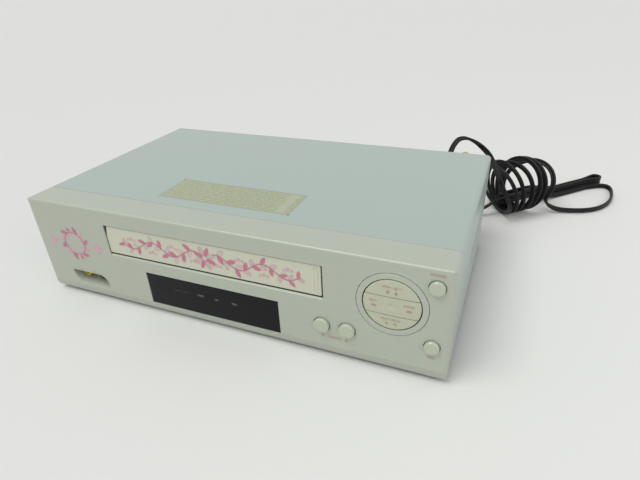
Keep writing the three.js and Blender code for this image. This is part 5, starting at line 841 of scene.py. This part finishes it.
# Stem: z = middle + swing * sin(waves * x); leaves stand off it on both sides
def drawVine(kit):
    x, z, reach, waves, swing = kit["x"], kit["z"], kit["reach"], kit["waves"], kit["swing"]
    filled, pale = [], []
    for side in (-1, 1):
        run = np.linspace(kit["start"], reach, kit["steps"])
        phase = run / reach * waves * pi
        line = np.stack([x + side * run, z + swing * np.sin(phase)], -1)
        slope = np.arctan2(swing * np.cos(phase) * waves * pi / reach, side)
        filled.append(bandOutline(line, kit["stem"]))
        for k, at in enumerate(range(*kit["leafAt"])):
            turn = kit["lean"] if k % 2 else -kit["lean"]
            size = 1 - kit["taper"] * at / kit["steps"]
            width = kit["leafWidth"] * size
            length = kit["leaf"] * size
            filled.append(leafOutline(line[at], slope[at] + turn, length, width))
            away = slope[at] - turn * kit["openLean"]
            pale += openLeaf(line[at], away, length * kit["openSize"], width, kit["line"])
        for k in range(waves):
            at = (k + 0.5) / waves * reach
            level = z - swing * kit["clusterDrop"] * np.sin((k + 0.5) * pi)
            for away, up, share in kit["cluster"]:
                pale.append(dotOutline((x + side * (at + away), level + up), kit["berry"] * share))
    width = kit["leafWidth"] * kit["petalWidth"]
    for k, angle in enumerate(roundAngles(kit["petals"]) + pi / kit["petals"]):
        foot = turnedFrom((x, z), angle, kit["petalFoot"])
        if k % 2:
            filled.append(leafOutline(foot, angle, kit["petal"], width))
        else:
            pale += openLeaf(foot, angle, kit["petal"], width, kit["line"])
    printOn("door_vine", filled, doorFace, rosePrint, doorBody, over=printKit["over"])
    printOn("door_berries", pale, doorFace, palePrint, doorBody)


drawVine(vineKit)

# Door's right end: a moulded double line with a small dot above; its upper left corner: a dark wedge, a
# painted shadow in the door's gap over the hinge
lineKit = {
    "x": (0.0858, 0.0884), "low": 0.0566, "high": 0.0786, "wide": 0.00022, "dot": 0.00045, "dotDrop": 0.0012,
    "notch": [(-0.0979, 0.0797), (-0.0955, 0.0797), (-0.0968, 0.0745), (-0.0979, 0.0700)],
}


# Two upright bands and the dot between them, darker as painted shade of the moulded lines, and the painted
# hinge shadow as one outline
def drawDoorLines(kit):
    marks = [bandOutline([(x, kit["low"]), (x, kit["high"])], kit["wide"]) for x in kit["x"]]
    marks.append(dotOutline((sum(kit["x"]) / 2, kit["high"] - kit["dotDrop"]), kit["dot"]))
    printOn("door_line_shades", marks, doorFace, doorLineShade, doorBody)
    printOn("door_notch", [kit["notch"]], doorFace, darkPrintAndShadow, doorBody)


drawDoorLines(lineKit)

# Left of the door: a wreath of leaves with berries, and a sprig of three leaves at each side of it.
# Leans are angles from the way out of the ring, and a sprig's leaf is (lean, size)
wreathKit = {
    "x": -0.1375, "z": underside + 0.0524, "radius": 0.0108, "arcSteps": 31, "line": 0.0005, "leaves": 12,
    "leaf": 0.0076, "leafWidth": 0.0031, "lean": 0.95, "backLean": 2.3, "backSize": 0.62, "backWidth": 0.8,
    "berry": 0.0014, "berryAway": 0.0026, "berryTurn": 0.26, "sprigAway": 0.0252, "sprigDrop": 0.004,
    "sprig": 0.0092, "sprigLeaves": [(0, 1), (0.8, 0.8), (-0.8, 0.8)], "sprigStem": (-0.0035, 0.001),
    "stemWide": 0.0006,
}


# Leaves lean outwards round a circle, filled and pale by turns, and every third gap has a berry
def drawWreath(kit):
    x, z, leaf, width = kit["x"], kit["z"], kit["leaf"], kit["leafWidth"]
    angles = roundAngles(kit["leaves"])

    def onRing(angle, away=0.0):
        return turnedFrom((x, z), angle, kit["radius"] + away)

    arcs = [onRing(start + np.linspace(0, pi, kit["arcSteps"])) for start in (0, pi)]
    filled = [bandOutline(arc, kit["line"]) for arc in arcs]
    filled += [leafOutline(onRing(a), a + kit["lean"], leaf, width) for a in angles[::2]]
    filled += [dotOutline(onRing(a, kit["berryAway"]), kit["berry"]) for a in angles[::3] + kit["berryTurn"]]
    pale = [leafOutline(onRing(a), a + kit["lean"], leaf, width) for a in angles[1::2]]
    backLeaf, backWidth = leaf * kit["backSize"], width * kit["backWidth"]
    pale += [leafOutline(onRing(a), a + kit["backLean"], backLeaf, backWidth) for a in angles]
    for side in (-1, 1):
        foot = np.array((x + side * kit["sprigAway"], z - kit["sprigDrop"]))
        for turn, size in kit["sprigLeaves"]:
            pale.append(leafOutline(foot, pi / 2 + turn, kit["sprig"] * size, width))
        pale.append(bandOutline([foot + (0, end) for end in kit["sprigStem"]], kit["stemWide"]))
    printOn("wreath_leaves", filled, frontPlane, rosePrint, "body", over=printKit["over"])
    printOn("wreath_sprigs", pale, frontPlane, palePrint, "body")


drawWreath(wreathKit)


# A triangle that points along way: 0 right, 1 up, 2 left, 3 down
def triangle(x, z, size, way):
    onward, side = np.array([(0.6, 0), (-0.4, 0.5), (-0.4, -0.5)]).T * size
    return turnedFrom((x, z), way * pi / 2, onward, side)


# An upright rectangle about (x, z)
def bar(x, z, width, height):
    return np.array([(x, z)]) + np.array([(-1, -1), (1, -1), (1, 1), (-1, 1)]) * (width / 2, height / 2)


# A word as outlines: the faces of the built-in font's letters, centred on (x, z); mirrored for the rear
def word(text, x, z, height, way):
    data = bpy.data.curves.new("word", "FONT")
    data.body = text
    data.size = height * 1.4  # a capital is 1 / 1.4 of the letter size
    data.align_x = "CENTER"
    data.resolution_u = 2
    holder = bpy.data.objects.new("word", data)
    scene.collection.objects.link(holder)
    mesh = bpy.data.meshes.new_from_object(holder.evaluated_get(bpy.context.evaluated_depsgraph_get()))
    points = np.empty(len(mesh.vertices) * 3)
    mesh.vertices.foreach_get("co", points)
    points = points.reshape(-1, 3)[:, :2] * (-way, 1) + (x, z - height / 2)
    outlines = [points[list(face.vertices)] for face in mesh.polygons]
    bpy.data.objects.remove(holder)
    bpy.data.meshes.remove(mesh)
    return outlines


# Marks about a middle as outlines: each mark is (word or shape, right, up, then its sizes)
def drawn(marks, middle=(0, 0), way=-1):
    outlines = []
    for kind, right, up, *sizes in marks:
        x, z = middle[0] + right, middle[1] + up
        outlines += [kind(x, z, *sizes)] if callable(kind) else word(kind, x, z, *sizes, way)
    return outlines


# The middle of a node as (x, z)
def centre(node):
    low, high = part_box(node)
    return (low.x + high.x) / 2, (low.z + high.z) / 2


# The marks of a kit, each about the middle of the node that it is listed for
def drawnAtNodes(kit, way=-1):
    return [outline for node, marks in kit.items() for outline in drawn(marks, centre(node), way)]


# Captions of the controls, in plain words and common signs
sign = 0.0019
channelApart = centre("channel_up_button")[0] - centre("channel_down_button")[0]
jackUp = underside + 0.0262 - centre("front_jack_block")[1]
captionKit = {
    "power_button": [("POWER", -0.0003, 0.0092, 0.0020)],
    "record_button": [("REC", 0, -0.0090, 0.0020)],
    "channel_down_button": [
        ("CHANNEL", channelApart / 2, -0.0096, 0.0016), (triangle, 0.0006, -0.0096, sign, 3),
    ],
    "channel_up_button": [(triangle, -0.0006, -0.0096, sign, 1)],
    "front_jack_block": [("VIDEO", -0.0080, jackUp, 0.0012), ("AUDIO", 0.0080, jackUp, 0.0012)],
}
printOn("control_captions", drawnAtNodes(captionKit), frontPlane, captionPrint, "body")

# Captions about the pad's middle: a square for stop, a triangle over a bar for eject, a triangle for
# play, two bars for pause and pairs of triangles for winding
padCaptionKit = {
    "stop_eject_button": ("eject_caption", [
        ("STOP / EJECT", 0, 0.0142, 0.0016), (bar, -0.0028, 0.0106, sign, sign),
        (triangle, 0.0028, 0.0110, sign, 1), (bar, 0.0028, 0.0097, sign, 0.0004),
    ]),
    "play_button": ("play_caption", [
        ("PLAY / PAUSE", 0, -0.0112, 0.0016), (triangle, -0.0028, -0.0146, sign, 0),
        (bar, 0.0022, -0.0146, 0.0005, sign), (bar, 0.0034, -0.0146, 0.0005, sign),
    ]),
    "wind_rocker": ("wind_caption", [
        ("REW", -0.0122, 0.0020, 0.0018), ("F.FWD", 0.0118, 0.0020, 0.0018),
        (triangle, -0.0111925, -0.0018, sign, 2), (triangle, -0.0128075, -0.0018, sign, 2),
        (triangle, 0.0111925, -0.0018, sign, 0), (triangle, 0.0128075, -0.0018, sign, 0),
    ]),
}


# The pad's face: flat in the middle, then a shallow cone to its edge
def padFace(x, z):
    radius = np.hypot(x - padKit["x"], z - padKit["z"])
    middle = padKit["radius"] / 2
    share = np.clip((radius - middle) / (middle - padKit["stand"]), 0, 1)
    return frontPlane - padKit["stand"] * (1 - share / 2)


for node, (name, marks) in padCaptionKit.items():
    outlines = drawn(marks, (padKit["x"], padKit["z"]))
    printOn(name, outlines, padFace, captionPrint, nodes[node]["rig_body"])

# Marks on the smoked window: three clear ones and a faint row
displayKit = {
    "display_marks": (displayMark, [
        ("TAPE", -0.0142, 0.0306, 0.0019), ("CH", 0.0006, 0.0302, 0.0019), ("MIN", 0.0172, 0.0300, 0.0019),
    ]),
    "display_faint_marks": (dimMark, [("TIMER  VIDEO", -0.0320, 0.0310, 0.0017)]),
}
for name, (material, marks) in displayKit.items():
    printOn(name, drawn(marks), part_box("display_window")[0].y, material, "body")

# Words at the back: over the jacks, at the end of their rows and beside each aerial socket
low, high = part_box("rear_jack_block")
jackEnd, jackTop = (high.x - low.x) / 2 + 0.006, (high.z - low.z) / 2 + 0.003
rearKit = {
    "rear_jack_block": [
        ("AUDIO", 0.0085, jackTop, 0.0022), ("VIDEO", -0.0085, jackTop, 0.0022),
        ("IN", jackEnd, 0.007, 0.0022), ("OUT", jackEnd, -0.007, 0.0022),
    ],
    "aerial_in_socket": [("ANT IN", -0.0125, 0, 0.0022)],
    "aerial_out_socket": [("RF OUT", -0.0125, 0, 0.0022)],
}
printOn("rear_words", drawnAtNodes(rearKit, 1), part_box("rear_panel")[1].y, darkPrintAndShadow, "body", 1)
print("prints made")

# Studio: a plain pale floor, a broad soft key from above, a fill at the right and a pale world
studioKit = {
    "floor": 40.0, "floorTone": (226, 227, 224), "floorDrop": 0.0002, "world": 0.52, "seen": 0.78,
    "key": {"kind": "SUN", "place": (-0.40, -0.50, 1.30), "energy": 1.45, "angle": radians(32)},
    "fill": {"kind": "AREA", "place": (1.1, -0.6, 0.8), "energy": 2.6, "shape": "DISK", "size": 0.8},
    "aim": (0, 0, 0.03),
}


# A lamp that faces the aim; every other entry of its kit is one of the lamp's own settings
def addLamp(name, kit, aim):
    data = bpy.data.lights.new(name, kit["kind"])
    for key in sorted(kit.keys() - {"kind", "place"}):
        setattr(data, key, kit[key])
    lamp = bpy.data.objects.new(name, data)
    lamp.location = kit["place"]
    x, y, z = np.array(aim) - kit["place"]
    lamp.rotation_euler = (np.arctan2(z, np.hypot(x, y)) + pi / 2, 0, np.arctan2(y, x) - pi / 2)
    scene.collection.objects.link(lamp)


# Floor: a level grid; world: white, brighter as seen and mirrored than as it lights
def buildStudio(kit):
    line = np.linspace(-0.5, 0.5, 5) * kit["floor"]
    y, x = np.meshgrid(line, line, indexing="ij")
    floor = meshObject("floor", np.stack([x, y, np.full(x.shape, -kit["floorDrop"])], -1), gridFaces(5, 5))
    dress(finish("studio floor", kit["floorTone"], 0.7, blotch=0.01, grain=0.01), floor)
    world = bpy.data.worlds.new("studio")
    scene.world = world
    world.use_nodes = True
    tree = world.node_tree
    background = tree.nodes["Background"]
    background.inputs["Color"].default_value = (1, 1, 1, 1)
    rays = addNode(tree, "ShaderNodeLightPath").outputs
    seen = calculate(tree, "MAXIMUM", rays["Is Camera Ray"], rays["Is Glossy Ray"])
    seen = calculate(tree, "MAXIMUM", seen, rays["Is Transmission Ray"])
    limits = {"Value": seen, "To Min": kit["world"], "To Max": kit["seen"]}
    strength = addNode(tree, "ShaderNodeMapRange", limits).outputs[0]
    tree.links.new(strength, background.inputs["Strength"])
    addLamp("key", kit["key"], kit["aim"])
    addLamp("fill", kit["fill"], kit["aim"])


buildStudio(studioKit)
scene.view_settings.view_transform = "Standard"
print("studio lit")
